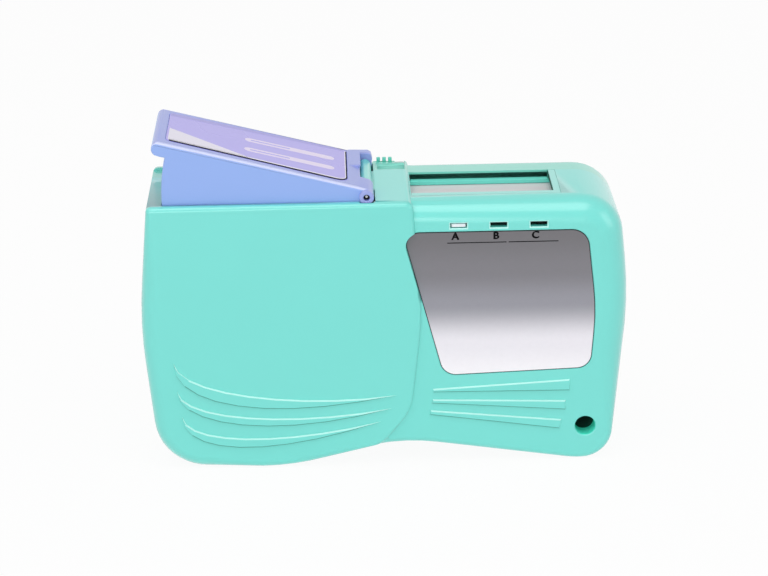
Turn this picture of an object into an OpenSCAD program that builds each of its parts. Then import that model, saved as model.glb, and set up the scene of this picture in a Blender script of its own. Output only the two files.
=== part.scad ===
// Fibre optic cleaning cassette: a hand-held reel cleaner for optical connectors.
// X runs along the case to the right, Y to the back, Z up. The case stands on its two lower lobes.
// The origin is at the middle of the length and the depth, on the surface that it stands on.
// Every inner place is measured from the case's sides, its base or the lever's pin.

/* [Case] */
// Length of the case, which its right side swells a little past
case_len = 117; // [112:1:122]
// Height of the case at the lever's end
case_h = 68.5; // [66:0.5:71]
// Overall depth, grip ribs included
case_depth = 32; // [31:0.5:34]
// Wall thickness of both shells
wall = 2; // [1.6:0.1:2.2]
// Height of the grip ribs above the front face
grip_h = 0.4; // [0.2:0.1:0.6]
// How far the lever's end of the front face stands ahead of the window's end
face_step = 1; // [0.6:0.1:1.2]
// How far the window's end of the top lies below the lever's end
top_drop = 0.7; // [0.4:0.1:0.9]
// Rise of the hinge block above the lever's end of the top
block_rise = 0.2; // [0.1:0.05:0.5]
// Length of the hinge block along the case
block_len = 8.7; // [7:0.1:10]
// Depth of the removable rear cover
cover_depth = 7.4; // [7:0.1:8]

/* [Case edges] */
// Edge radius along the base
edge_base = 1.8; // [1.4:0.1:3]
// Edge radius down the lever's end
edge_lever_end = 3.5; // [2:0.1:4]
// Edge radius along the top at the lever's end
edge_lever_top = 1.2; // [0.8:0.1:1.5]
// Edge radius along the top at the window's end
edge_window_top = 4.4; // [3:0.1:5]
// Edge radius down the window's end
edge_window_end = 6; // [4:0.1:6.5]
// Edge radius along the step in the front face
edge_step = 0.9; // [0.5:0.1:1]
// Edge radius round the back
edge_back = 2.4; // [1.5:0.1:3]

/* [Strap hole] */
// Radius of the strap hole
strap_r = 2.5; // [2:0.1:3]
// Distance of the strap hole from the case's right side
strap_from_side = 9.5; // [9:0.1:11]
// Height of the strap hole
strap_z = 9.1; // [8.8:0.1:11]
// Wall of the tube round the strap hole
strap_wall = 1.5; // [1:0.1:2]

/* [Lever] */
// Distance of the lever's pin from the case's left side, as a share of its length
pin_along_share = 0.4675; // [0.462:0.0005:0.48]
// Height of the pin's centre above the case's top
pin_rise = 1.1; // [0.9:0.1:1.3]
// Radius of the lever's pin
pin_r = 0.7; // [0.6:0.05:0.8]
// Radius of the lever's knuckles
knuckle_r = 1.75; // [1.6:0.05:1.9]
// Angle at which the lever stands up at rest
lever_angle = 14.5; // [13.5:0.5:15.5]
// Height of the lever's top plane above its pin
plate_rise = 2; // [1.8:0.05:2.2]
// Thickness of the lever's top plate
plate_t = 1.6; // [1.2:0.1:1.8]
// Thickness of the lever's side walls
lever_wall = 1.2; // [1:0.1:1.3]
// Gap between the lever and the case's walls
lever_gap = 0.25; // [0.2:0.05:0.35]
// How far the lip's end stays inside the case's left side
lip_setback = 2.8; // [2.6:0.1:3.2]
// How far the lip overhangs the lever's end wall
lip_overhang = 3.5; // [3:0.1:3.8]
// Thickness of the lip
lip_t = 3.55; // [3:0.05:3.6]
// Depth of the side walls at the pin
side_depth_pin = 3; // [2.6:0.1:3.4]
// Depth of the lever's end wall that stays inside the case when the lever is up
side_tuck = 3.8; // [3.7:0.05:4.2]
// Length of the front knuckle
knuckle_len_front = 9.3; // [8:0.1:10]
// Length of the rear knuckle
knuckle_len_rear = 2.6; // [2:0.1:3]
// Depth of the recess that holds the label
label_t = 0.3; // [0.2:0.05:0.4]
// Margin between the label and the lever's sides
label_margin = 2.8; // [2:0.1:4]
// Distance of the label from the pin
label_from_pin = 5.1; // [4.8:0.1:7]
// Distance of the label from the lip's end
label_from_lip = 2.9; // [2.5:0.1:6]

/* [Window] */
// Distance of the window's right end from the case's right side, as a share of its length
win_along_share = 0.1496; // [0.145:0.0005:0.162]
// Distance of the window's front edge ahead of the parting plane
win_w = 14.9; // [14:0.1:16]
// Width of the trim on the window's front and right
bezel_w = 1.8; // [1.5:0.1:2.2]
// Thickness of the trim
bezel_t = 1.2; // [1:0.1:1.4]

/* [Shutter and slots] */
// Thickness of the shutter
shutter_t = 0.8; // [0.6:0.1:1]
// Depth of the shutter's top below the case's top
shutter_drop = 2.8; // [2.6:0.1:3]
// Running gap of the shutter in its rails
shutter_gap = 0.1; // [0.05:0.01:0.15]
// Overlap of the shutter past the window's right end
shutter_lap = 2; // [1:0.1:2.4]
// Thickness of the slot guide's floor
guide_t = 1.4; // [1:0.1:1.6]
// Distance of the two wiping slots from the window's left end
slot_inset = 6.6; // [5:0.1:9]
// Width of the wiping slots
slot_w = 3; // [2.6:0.1:3.2]
// Distance between the slots' centre lines
slot_pitch = 6.2; // [5.6:0.1:6.8]

/* [Gear train] */
// Tooth module of every gear and rack
tooth_module = 0.5; // [0.45:0.01:0.52]
// Teeth of the full circle that the lever's sector is part of
sector_teeth = 100; // [98:1:104]
// Teeth of the small pinion of the drive gear
pinion_teeth = 12; // [12:1:13]
// Teeth of the large wheel of the drive gear
gear_teeth = 56; // [52:1:58]
// Teeth of the wheel on the take-up shaft
takeup_teeth = 48; // [44:1:50]
// Teeth of the ratchet wheel
ratchet_teeth = 24; // [18:1:30]
// Tip radius of the ratchet wheel
ratchet_r = 7; // [6.5:0.1:7.5]
// Face width of the gears
gear_w = 1.5; // [1.2:0.1:1.6]
// Backlash between meshing teeth
tooth_play = 0.08; // [0.06:0.01:0.1]
// Radius of the fixed gear axles
axle_r = 1.2; // [1:0.1:1.4]
// Radial running clearance on axles, shafts and pins
run_gap = 0.05; // [0.03:0.01:0.08]

/* [Reels] */
// Distance of the supply reel's centre from the case's left side, as a share of its length
supply_along_share = 0.218; // [0.214:0.001:0.23]
// Height of the supply reel's centre, as a share of the case's height
supply_up_share = 0.387; // [0.38:0.001:0.408]
// Radius of the supply reel's flanges, as a share of the room that the case gives
supply_share = 0.299; // [0.277:0.001:0.306]
// Radius of the tape wound on the supply reel
supply_wound_r = 17.5; // [12:0.1:18.5]
// Distance of the take-up reel's centre from the case's right side, as a share of its length
takeup_along_share = 0.235; // [0.231:0.001:0.247]
// Height of the take-up reel's centre, as a share of the case's height
takeup_up_share = 0.4234; // [0.409:0.0002:0.438]
// Radius of the take-up reel's flanges, as a share of the room that the case gives
takeup_share = 0.277; // [0.262:0.001:0.284]
// Radius of the tape wound on the take-up reel
takeup_wound_r = 10; // [8.5:0.1:14]
// Radius of both reels' hubs
hub_r = 6; // [5.5:0.1:6.5]
// Thickness of the reels' flanges
flange_t = 1.2; // [1:0.1:1.3]
// Radius of the take-up shaft
shaft_r = 2; // [1.8:0.1:2.2]
// Radius of the supply reel's fixed axle
post_r = 3; // [2.6:0.1:3.2]

/* [Tape] */
// Width of the cleaning tape, as a share of the case's depth
tape_share = 0.375; // [0.356:0.001:0.381]
// Thickness of the cleaning tape
tape_t = 0.3; // [0.2:0.05:0.35]
// Gap between the tape and each turning piece that it touches
tape_gap = 0.1; // [0.08:0.01:0.15]
// Gap between the tape's ends and the windings
wind_gap = 0.3; // [0.2:0.05:0.4]
// Radius of the guide rollers
roller_r = 2.2; // [2:0.1:2.4]
// Radius of the guide rollers' axles
roller_axle_r = 0.8; // [0.7:0.05:0.9]
// Thickness of the rubber pad under the tape
pad_t = 3.6; // [3:0.1:4]

/* [Front details] */
// Thickness of the nameplate
plate_name_t = 0.3; // [0.2:0.05:0.4]
// Width of a type window
type_w = 4; // [3.6:0.1:4.2]
// Height of a type window
type_h = 1.25; // [1.1:0.05:1.4]
// Distance between the type windows
type_pitch = 9.55; // [9:0.05:10]

/* [Hidden] */
$fn = 48;

// Angle between the facets of an outline's corners, and facets across a rounded edge
arc_step = 6;
edge_steps = 4;
// Angle between facets at a corner whose radius is the case's room. Smaller corners take wider ones.
fine_step = 4.35;
// One named overrun for every cut
cut = 1;
// Chamfer along the inner edges of the shells
inner_edge = 1.2;
// Clearance between pieces of one body that are only laid together
seat_gap = 0.02;
// Gap between pieces that pass each other
pass_gap = 0.3;

// Lengths that follow the case
case_proportion = 0.5855;
case_room = min(case_h, case_proportion * case_len);
pin_from_side = pin_along_share * case_len;
supply_z = supply_up_share * case_h;
supply_r = supply_share * case_room;
takeup_z = takeup_up_share * case_h;
takeup_r = takeup_share * case_room;
tape_w = tape_share * case_depth;

// Levels in depth, from the front to the back
y_front = -case_depth / 2 + grip_h;
y_front_low = y_front + face_step;
y_back = case_depth / 2;
y_part = y_back - cover_depth;
y_in = y_front + wall;
y_in_low = y_front_low + wall;
y_back_in = y_back - wall;
y_lever = y_in + lever_gap;
y_lever_back = y_back_in - 5 * lever_gap;
y_web = y_lever + lever_wall;
web_t = 1.4;
y_gear = y_web + web_t + pass_gap;
y_gear_back = y_gear + gear_w;
chassis_t = 1.2;
y_chassis = y_gear_back + pass_gap;
y_chassis_back = y_chassis + chassis_t;
flange_gap = 0.8;
y_flange = y_chassis_back + flange_gap;
side_gap = 0.4;
y_tape = y_flange + flange_t + side_gap;
y_tape_back = y_tape + tape_w;
y_reel_back = y_tape_back + side_gap + flange_t;
y_tape_mid = (y_tape + y_tape_back) / 2;

// Heights at the top of the case
z_top = case_h;
z_top_low = case_h - top_drop;
z_block = case_h + block_rise;
z_shutter = z_top_low - shutter_drop;
z_guide = z_shutter - shutter_t - shutter_gap;
z_guide_low = z_guide - guide_t;
z_tape = z_guide_low - 2 * tape_gap;
z_tape_low = z_tape - tape_t;
z_roller = z_tape_low - tape_gap - roller_r;
rack_depth = 1.4;
z_rack = z_shutter - rack_depth;

// Lever
pin_x = -case_len / 2 + pin_from_side;
pin_z = case_h + pin_rise;
reach = pin_from_side - lip_setback;
wall_reach = reach - lip_overhang;
side_depth_lip = wall_reach * tan(lever_angle) + side_tuck;
hook_out = 1.4;
hook_h = 1.1;
hook_inset = 1.6;
lever_bore_r = pin_r + run_gap;
lug_r = 1.45;
lug_gap = 0.25;
knuckle_inset = 1.2;
y_knuckle = y_front + knuckle_inset;
y_knuckle_end = y_knuckle + knuckle_len_front;
y_lug = y_knuckle_end + lug_gap;
y_lug_back = y_lever_back - knuckle_len_rear - lug_gap;
x_block = pin_x + knuckle_r + pass_gap;
x_window = x_block + block_len;
x_well = pin_x - wall_reach - pass_gap;

// Gear train: every centre follows from the pin, the rack and the take-up shaft
pressure = 25;
addendum = 0.8 * tooth_module;
dedendum = 1.05 * tooth_module;
sector_r = sector_teeth * tooth_module / 2;
pinion_pitch_r = pinion_teeth * tooth_module / 2;
gear_pitch_r = gear_teeth * tooth_module / 2;
takeup_pitch_r = takeup_teeth * tooth_module / 2;
centre_r = sector_r - pinion_pitch_r;
gear_z = z_rack - gear_pitch_r;
gear_drop = pin_z - gear_z;
gear_x = pin_x - sqrt(centre_r * centre_r - gear_drop * gear_drop);
mesh_angle = atan2(gear_z - pin_z, gear_x - pin_x) + 360;
supply_x = (supply_along_share - 0.5) * case_len;
takeup_x = (0.5 - takeup_along_share) * case_len;
train_d = norm([takeup_x - gear_x, takeup_z - gear_z]);
train_angle = atan2(takeup_z - gear_z, takeup_x - gear_x);
idler_teeth = ceil((train_d - gear_pitch_r - takeup_pitch_r) / tooth_module) + 1;
idler_pitch_r = idler_teeth * tooth_module / 2;
side_a = gear_pitch_r + idler_pitch_r;
side_b = idler_pitch_r + takeup_pitch_r;
idler_turn = acos((train_d * train_d + side_a * side_a - side_b * side_b) / (2 * train_d * side_a));
idler_angle = train_angle - idler_turn;
idler_x = gear_x + side_a * cos(idler_angle);
idler_z = gear_z + side_a * sin(idler_angle);
idler_to_takeup = atan2(takeup_z - idler_z, takeup_x - idler_x);
press_turn = lever_angle * sector_teeth / pinion_teeth;
travel = press_turn * gear_pitch_r * PI / 180;

// Phases that put every pair of teeth in mesh at rest
sector_phase = mesh_angle;
pinion_phase = mesh_angle;
gear_phase = pinion_phase;
idler_phase = mate_phase(gear_phase, gear_teeth, idler_teeth, idler_angle);
takeup_phase = mate_phase(idler_phase, idler_teeth, takeup_teeth, idler_to_takeup);
rack_x = gear_x - gear_pitch_r * (((gear_phase - 90) % (360 / gear_teeth)) * PI / 180);

// Window and shutter
win_x = (0.5 - win_along_share) * case_len;
back_land = 1.2;
rail_w = 1;
rail_crest = 0.4;
rail_t = 0.6;
rail_spare = 1.5;
stop_w = 1.6;
bridge_w = 1.2;
win_y = y_part - win_w;
shutter_x = x_window - shutter_lap;
shutter_end = win_x + shutter_lap;
shutter_back = y_part - back_land;
rail_lip = 0.8;
rail_y = shutter_back - rail_lip;
rail_back = shutter_back + rail_w;
rail_top = z_shutter + shutter_gap + rail_t;
guide_x = x_window - 1.5 * shutter_lap;
guide_end = shutter_end + shutter_gap + stop_w;
guide_left = shutter_x - travel - rail_spare;
slot_end = win_x - 0.5 * shutter_lap;

// Tape run
roller_left_x = guide_x + 0.6 * shutter_lap;
roller_right_x = guide_end + shutter_lap;
pad_inset = roller_r + tape_gap + 0.5 * shutter_lap;
pad_x = roller_left_x + pad_inset;
pad_end = roller_right_x - pad_inset;

green = "#7ee0d4";
green_dark = "#5fd0c0";
lavender = "#a9b4ee";
grey = "#cfd1d3";
steel = "#a8adb3";
white = "#f2f2f0";
rubber = "#3a3d40";

// Case outline: x as a share of half the length, height as a share of case_h, corner radius as a
// share of case_room. The points run round from the lower left, seen from the front.
heel_share = [-0.9505, 0, 0.19];
lobe_share = [-0.3850, 0, 0.88];
waist_share = [0.0523, 0.0931, 0.686];
toe_start_share = [0.785, 0, 0.3];
toe_share = [0.9405, 0, 0.112];
right_share = [1.0195, 0.584, 1.46];
right_top_share = [0.9690, 1, 0.15];
left_top_share = [-0.9556, 1, 0.019];
left_share = [-1.00889, 0.555, 1.6];
step_foot_share = [-0.0140, 0.0834, 0.08];
step_low_share = [0.1094, 0.2131, 0.175];
step_mid_share = [0.159, 0.584, 1.17];
inner_left_share = [-0.1880, 0.0390, 0.049];

function corner(s, edge, z = -1) = [s[0] * case_len / 2, z < 0 ? s[1] * case_h : z, s[2] * case_room, edge];

// Radius of the hinge block's right shoulder
shoulder_r = 2;

// Two overlapping halves of the case: each corner is [x, z, corner radius, edge radius]
left_corners = [
    corner(heel_share, edge_lever_end),
    corner(lobe_share, edge_base),
    corner(step_foot_share, edge_step),
    corner(step_low_share, edge_step),
    corner(step_mid_share, edge_step),
    [x_window, z_top, shoulder_r, edge_step],
    corner(left_top_share, edge_lever_top, z_top),
    corner(left_share, edge_lever_end)
];
right_corners = [
    corner(inner_left_share, edge_base),
    corner(waist_share, edge_base),
    corner(toe_start_share, edge_base),
    corner(toe_share, edge_base),
    corner(right_share, edge_window_end),
    corner(right_top_share, edge_window_end, z_top_low),
    [inner_left_share[0] * case_len / 2, z_top_low, edge_window_top + pass_gap, edge_window_top]
];

// The whole outline in one, for the rear cover. Its top steps up under the hinge block.
whole_corners = concat(
    [left_corners[0], left_corners[1]],
    [for (k = [1:5]) right_corners[k]],
    [[x_window, z_top_low, 4 * block_len, edge_back], [x_block, z_top, 4 * block_len, edge_lever_top]],
    [left_corners[6], left_corners[7]]
);

// Nameplate corners: x as a share of half the length, height and corner radius as shares of case_h
name_shares = [
    [0.2419, 0.3410, 0.06], [0.8564, 0.3600, 0.055], [0.8752, 0.5840, 0.9], [0.8342, 0.8883, 0.066],
    [0.0735, 0.8883, 0.048]
];
// Grip ribs at the lever's end: four Bezier points of the lower edge, then the two inner ones of
// the upper edge, each as shares of half the length and of case_h
rib_left_shares = [
    [[-0.8735, 0.419], [-0.885, 0.248], [-0.479, 0.182], [0.0444, 0.277], [-0.858, 0.299], [-0.376, 0.233]],
    [[-0.865, 0.311], [-0.870, 0.170], [-0.444, 0.114], [0.0239, 0.226], [-0.848, 0.200], [-0.410, 0.163]],
    [[-0.8496, 0.212], [-0.8547, 0.061], [-0.4957, 0.038], [-0.0222, 0.175], [-0.831, 0.102], [-0.444, 0.09]]
];
// Grip ribs under the nameplate: left foot, right foot, right head, left head
rib_right_shares = [
    [[0.1974, 0.2788], [0.7700, 0.2750], [0.7692, 0.3182], [0.1974, 0.2920]],
    [[0.1932, 0.2358], [0.7545, 0.2000], [0.7538, 0.2365], [0.1966, 0.2511]],
    [[0.1846, 0.1912], [0.7300, 0.1255], [0.7368, 0.1620], [0.1880, 0.2088]]
];

function rot2(p, a) = [p[0] * cos(a) - p[1] * sin(a), p[0] * sin(a) + p[1] * cos(a)];
function unit(v) = v / norm(v);
function turn_of(a, b) = atan2(a[0] * b[1] - a[1] * b[0], a[0] * b[0] + a[1] * b[1]);

// Rounded polygon: each point is [x, z, inward x, inward z, edge radius]
function rounded(c, step = arc_step, fine = fine_step) = [
    for (i = [0:len(c) - 1])
        let (
            n = len(c),
            p = [c[(i + n - 1) % n][0], c[(i + n - 1) % n][1]],
            v = [c[i][0], c[i][1]],
            q = [c[(i + 1) % n][0], c[(i + 1) % n][1]],
            d1 = unit(v - p),
            t = turn_of(d1, unit(q - v)),
            inward = [-d1[1], d1[0]],
            start = v - d1 * c[i][2] * tan(abs(t) / 2),
            centre = start + inward * c[i][2] * sign(t),
            m = max(1, ceil(abs(t) / min(step, fine / sqrt(c[i][2] / case_room))))
        )
        for (k = [0:m])
            let (a = t * k / m, at = centre + rot2(start - centre, a), w = rot2(inward, a))
            [at[0], at[1], w[0], w[1], c[i][3]]
];

function inset(pts, d) = [for (p = pts) [p[0] + p[2] * d, p[1] + p[3] * d]];
function plain(c) = inset(rounded(c), 0);

// The same corners drawn in by a wall, with every corner radius large enough to stay round
function hollow_corners(c, r = wall + 1) = [for (v = c) [v[0], v[1], max(v[2], r), v[3]]];

// The whole outline drawn in by d, as one flat shape
module inner_outline(d) {
    polygon(inset(rounded(hollow_corners(whole_corners, d + 1), 15, 2 * fine_step), d));
}

// One level of a rounded shell: every point drawn in by d plus its share of the edge radius
function shell_ring(pts, d, face, dir, a) = [
    for (p = pts)
        let (e = d > 0 ? inner_edge : p[4], in = d + e * (1 - cos(a)))
        [p[0] + p[2] * in, face + dir * e * (1 - sin(a)), p[1] + p[3] * in]
];

// Solid between a flat back and a face with rounded edges. dir is 1 where the face looks to -Y.
module shell(corners, d, face, back, dir = 1, steps = edge_steps, edge = -1) {
    base = d > 0 ? rounded(corners, 15, 2 * fine_step) : rounded(corners, 9);
    pts = [for (p = base) [p[0], p[1], p[2], p[3], edge < 0 ? p[4] : min(p[4], edge)]];
    n = len(pts);
    far = [for (p = inset(pts, d)) [p[0], back, p[1]]];
    rings = concat([far], [for (k = [0:steps]) shell_ring(pts, d, face, dir, 90 * k / steps)]);
    r = len(rings);
    sides = [
        for (k = [0:r - 2])
            for (i = [0:n - 1])
                let (a = k * n + i, b = k * n + (i + 1) % n, c = a + n, e = b + n)
                each (dir > 0 ? [[a, c, b], [b, c, e]] : [[a, b, c], [b, e, c]])
    ];
    low = [for (i = [0:n - 1]) dir > 0 ? i : n - 1 - i];
    high = [for (i = [0:n - 1]) (r - 1) * n + (dir > 0 ? n - 1 - i : i)];
    polyhedron([for (ring = rings) each ring], concat(sides, [low, high]), convexity = 6);
}

// Round bar along Y
module ybar(r, y0, y1, x = 0, z = 0) {
    translate([x, y0, z])
        rotate([-90, 0, 0])
            cylinder(r = r, h = y1 - y0);
}

// Flat piece drawn as seen from the front
module plate_y(y0, y1) {
    translate([0, y1, 0])
        rotate([90, 0, 0])
            linear_extrude(y1 - y0)
                children();
}

// Box from one corner to the other
module block(a, b) {
    translate(a)
        cube(b - a);
}

function involute(r, base_r) = r <= base_r ? 0 : let (a = acos(base_r / r)) tan(a) * 180 / PI - a;

// Half the width of a tooth at radius r, as an angle
function tooth_half(z, r, play) =
    let (pitch_r = z * tooth_module / 2, base_r = pitch_r * cos(pressure))
    90 / z + involute(pitch_r, base_r) - involute(r, base_r) - play / pitch_r * 90 / PI;

// Points of one tooth from its foot over its tip to its other foot
function tooth(z, at, low, high, play) =
    let (
        pitch_r = z * tooth_module / 2,
        rs = [pitch_r + low, pitch_r + low / 3, pitch_r + high / 2, pitch_r + high],
        hs = [for (r = rs) tooth_half(z, r, play)]
    )
    concat(
        [for (k = [0:3]) rs[k] * [cos(at - hs[k]), sin(at - hs[k])]],
        [for (k = [3:-1:0]) rs[k] * [cos(at + hs[k]), sin(at + hs[k])]]
    );

// Phase of the second of two meshing wheels, with the direction from the first to the second
function mate_phase(phase, z1, z2, dir) =
    dir + 180 + 180 / z2 - (phase - dir) * z1 / z2;

module gear_shape(z, phase, play = tooth_play / 2) {
    polygon([for (k = [0:z - 1]) each tooth(z, phase + 360 * k / z, -dedendum, addendum, play)]);
}

function bezier(p, t) =
    p[0] * pow(1 - t, 3) + 3 * p[1] * t * pow(1 - t, 2) + 3 * p[2] * t * t * (1 - t) + p[3] * pow(t, 3);

// Front half: two overlapping solids whose faces stand one step apart
module front_solid() {
    difference() {
        union() {
            shell(left_corners, 0, y_front, y_part + cut);
            shell(right_corners, 0, y_front_low, y_part + 2 * cut, 1, edge_steps + 1);
        }
        block([-case_len, y_part, -case_h], [case_len, y_part + 3 * cut, 2 * case_h]);
    }
    hinge_block(y_front, y_part, 1);
}

module front_hollow() {
    shell(hollow_corners(left_corners), wall, y_in, y_part + cut, 1, 1);
    shell(hollow_corners(right_corners), wall, y_in_low, y_part + cut, 1, 1);
}

module rear_solid() {
    shell(whole_corners, 0, y_back, y_part, -1, edge_steps, edge_back);
    hinge_block(y_part, y_back, -1);
}

module rear_hollow() {
    shell(hollow_corners(whole_corners), wall, y_back_in, y_part - cut, -1, 1);
}

// Raised block between the lever and the window, with its outer edge and its right end rounded
module hinge_block(start, end, dir) {
    r = edge_lever_top;
    y0 = dir > 0 ? start + r / 2 : start;
    y1 = end;
    ye = dir > 0 ? y0 : y1;
    low = z_top_low - wall / 2;
    turn = 0.8 * shoulder_r;
    intersection() {
        block_profile(y0, y1, dir, r, ye, low);
        union() {
            block([x_block, y0, low - cut], [x_window - turn, y1, z_block + cut]);
            block([x_block, y0, low - cut], [x_window, y1, z_block - turn]);
            ybar(turn, y0, y1, x_window - turn, z_block - turn);
        }
    }
}

module block_profile(y0, y1, dir, r, ye, low) {
    translate([x_block, 0, 0])
        rotate([90, 0, 90])
            linear_extrude(block_len) {
                polygon([
                    [dir > 0 ? y0 + r : y0, low], [dir > 0 ? y1 : y1 - r, low],
                    [dir > 0 ? y1 : y1 - r, z_block], [dir > 0 ? y0 + r : y0, z_block]
                ]);
                polygon([
                    [ye, low], [ye + dir * 2 * r, low], [ye + dir * 2 * r, z_block - r], [ye, z_block - r]
                ]);
                translate([ye + dir * r, z_block - r])
                    circle(r = r);
            }
}

module well(y0, y1) {
    block([x_well, y0, gear_z], [x_block, y1, z_block + cut]);
}

strap_x = case_len / 2 - strap_from_side;
boss_r = 3;
boss_y = y_web - pass_gap;
post_boss_r = 2.2;
screw_r = 0.9;
// Screw posts, from the foot at the lever's end round to the one under the spring's shelf
post_left = 8;
post_right = 7.2;
post_foot = 6.6;
post_shelf = 7.6;
post_rise = 4.2;
post_drop = 2.1;
post_share = [0.1241, 0.7299, 0.292];
screw_posts = [
    [-case_len / 2 + post_left, post_share[0] * case_h],
    [-pass_gap, waist_share[1] * case_h + post_rise],
    [case_len / 2 - post_right, post_share[1] * case_h],
    [case_len / 2 - post_foot, post_share[2] * case_h],
    [-case_len / 2 + post_shelf, gear_z - post_drop]
];

module front_case() {
    color(green)
        difference() {
            union() {
                difference() {
                    front_solid();
                    front_hollow();
                }
                case_bosses();
                grip_ribs();
            }
            case_cuts();
        }
    color(green)
        difference() {
            hinge_lug();
            ybar(pin_r + seat_gap, y_lug - cut, y_lug_back + cut, pin_x, pin_z);
        }
}

// Barrel that holds the lever's pin, with a foot on the case's top
module hinge_lug() {
    ybar(lug_r, y_lug, y_lug_back, pin_x, pin_z);
    block([pin_x - lug_r / 2, y_lug, z_top - wall], [x_block + wall / 2, y_part, z_top - pass_gap / 2]);
    block([pin_x - lug_r / 2, y_lug, z_top - wall], [pin_x + lug_r / 2, y_part, pin_z - lug_r / 2]);
}

module case_bosses() {
    ybar(boss_r, y_in - wall / 2, boss_y, gear_x, gear_z);
    ybar(boss_r, y_in_low - wall / 2, y_gear - pass_gap, idler_x, idler_z);
    ybar(strap_r + strap_wall, y_in_low - wall / 2, y_part, strap_x, strap_z);
    for (p = screw_posts)
        ybar(post_boss_r, (p[0] < 0 ? y_in : y_in_low) - wall / 2, y_chassis, p[0], p[1]);
    catch_post = polar(catch_r, catch_angle);
    ybar(pawl_post_r, y_in_low - wall / 2, pawl_y + pawl_t, catch_post[0], catch_post[1]);
    // Ledge that the type tab stands on
    block(
        [type_x - type_pitch / 2, y_in_low - wall / 2, type_z - type_h / 2 - ledge_gap - ledge_t],
        [type_x + 2.5 * type_pitch, y_in_low + ledge_w, type_z - type_h / 2 - ledge_gap]
    );
}

module grip_ribs() {
    for (s = rib_left_shares) {
        p = [for (v = s) [v[0] * case_len / 2, v[1] * case_h]];
        plate_y(y_front - grip_h, y_front + wall / 2)
            polygon(concat(
                [for (k = [0:10]) bezier([p[0], p[1], p[2], p[3]], k / 10)],
                [for (k = [9:-1:1]) bezier([p[0], p[4], p[5], p[3]], k / 10)]
            ));
    }
    for (s = rib_right_shares)
        plate_y(y_front_low - grip_h, y_front_low + wall / 2)
            polygon([for (v = s) [v[0] * case_len / 2, v[1] * case_h]]);
}

name_corners = [
    for (s = name_shares) [s[0] * case_len / 2, s[1] * case_h, s[2] * case_h, edge_step]
];
name_gap = 0.15;
type_from_block = 10.95;
type_x = x_window + type_from_block;
type_up_share = 0.908;
type_z = type_up_share * case_h;
ledge_t = 1;
ledge_gap = 0.6;
ledge_w = 1.2;

module case_cuts() {
    well(y_in + seat_gap, y_part + cut);
    // The lip comes down over the lowered left wall
    block([-case_len / 2 - cut, y_in + seat_gap, pin_z + plate_rise - lip_t - pass_gap],
          [x_well + cut, y_part + cut, z_block + cut]);
    ybar(knuckle_r + lug_gap, y_knuckle - pass_gap, y_in + cut, pin_x, pin_z);
    // Window, with a step round it that the trim lies on
    block([x_window, win_y - bezel_w / 2, z_top_low - 2 * wall],
          [win_x + bezel_w / 2, y_part + cut, z_top_low]);
    block([x_window, win_y - bezel_w, z_top_low - bezel_t],
          [win_x + bezel_w, y_part + cut, z_top_low + cut]);
    for (k = [0:2])
        block([type_x + k * type_pitch - type_w / 2, y_front_low - cut, type_z - type_h / 2],
              [type_x + k * type_pitch + type_w / 2, y_in_low + cut, type_z + type_h / 2]);
    plate_y(y_front_low - cut, y_front_low + plate_name_t)
        polygon(plain(name_corners));
    ybar(strap_r, y_front_low - cut, y_part + cut, strap_x, strap_z);
    ybar(axle_r + seat_gap, y_in - wall / 2, y_gear, gear_x, gear_z);
    ybar(axle_r + seat_gap, y_in_low - wall / 2, y_gear, idler_x, idler_z);
    ybar(shaft_r / 2 + run_gap, y_in_low - wall / 2, y_gear, takeup_x, takeup_z);
    for (p = screw_posts)
        ybar(screw_r + seat_gap, y_in_low, y_chassis + cut, p[0], p[1]);
}

latch_from_block = 2.85;
latch_x = x_block + latch_from_block;
latch_len = 5.2;
latch_travel = 2;
latch_t = 1.6;
latch_h = 7;
boss_ring_r = 4.5;
rim_depth = 1.5;
thumb_r = 3;
thumb_from_back = 5;
thumb_depth = 1;
eave_w = 3.5;
eave_t = 0.5;

module rear_cover() {
    color(green)
        difference() {
            union() {
                difference() {
                    rear_solid();
                    rear_hollow();
                }
                cover_bosses();
                lap_rim(wall + pass_gap / 2, y_part - rim_depth);
                lap_rim(wall / 2, y_part + seat_gap);
            }
            cover_cuts();
        }
}

// Rim that locates the cover inside the case, round the sides and the base
module lap_rim(start, y0) {
    difference() {
        plate_y(y0, y_part + wall)
            inner_outline(start);
        plate_y(y0 - cut, y_part + wall + cut)
            inner_outline(1.5 * wall);
        block([-case_len, y0 - cut, gear_z - wall], [case_len, y_part + wall + cut, 2 * case_h]);
        // No rim at the waist, where the front shell has its step
        block([pin_x - block_len, y0 - cut, 0], [x_window + 4 * wall, y_part + seat_gap, case_h / 2]);
        ybar(strap_r + strap_wall + pass_gap, y0 - cut, y_part + seat_gap, strap_x, strap_z);
    }
}

module cover_bosses() {
    ybar(boss_ring_r, y_reel_back + pass_gap, y_back_in + wall / 2, supply_x, supply_z);
    ybar(boss_ring_r, y_reel_back + pass_gap, y_back_in + wall / 2, takeup_x, takeup_z);
    ybar(strap_r + strap_wall, y_part, y_back_in + wall / 2, strap_x, strap_z);
    // Floor behind the latch's pocket
    floor_x = latch_x - latch_len / 2 - latch_travel / 2;
    block([floor_x, y_back_in - 0.6 * wall, z_top - latch_h - latch_t],
          [floor_x + latch_len + 2 * latch_travel, y_back_in + wall / 2, z_top_low - wall / 2]);
}

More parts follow.
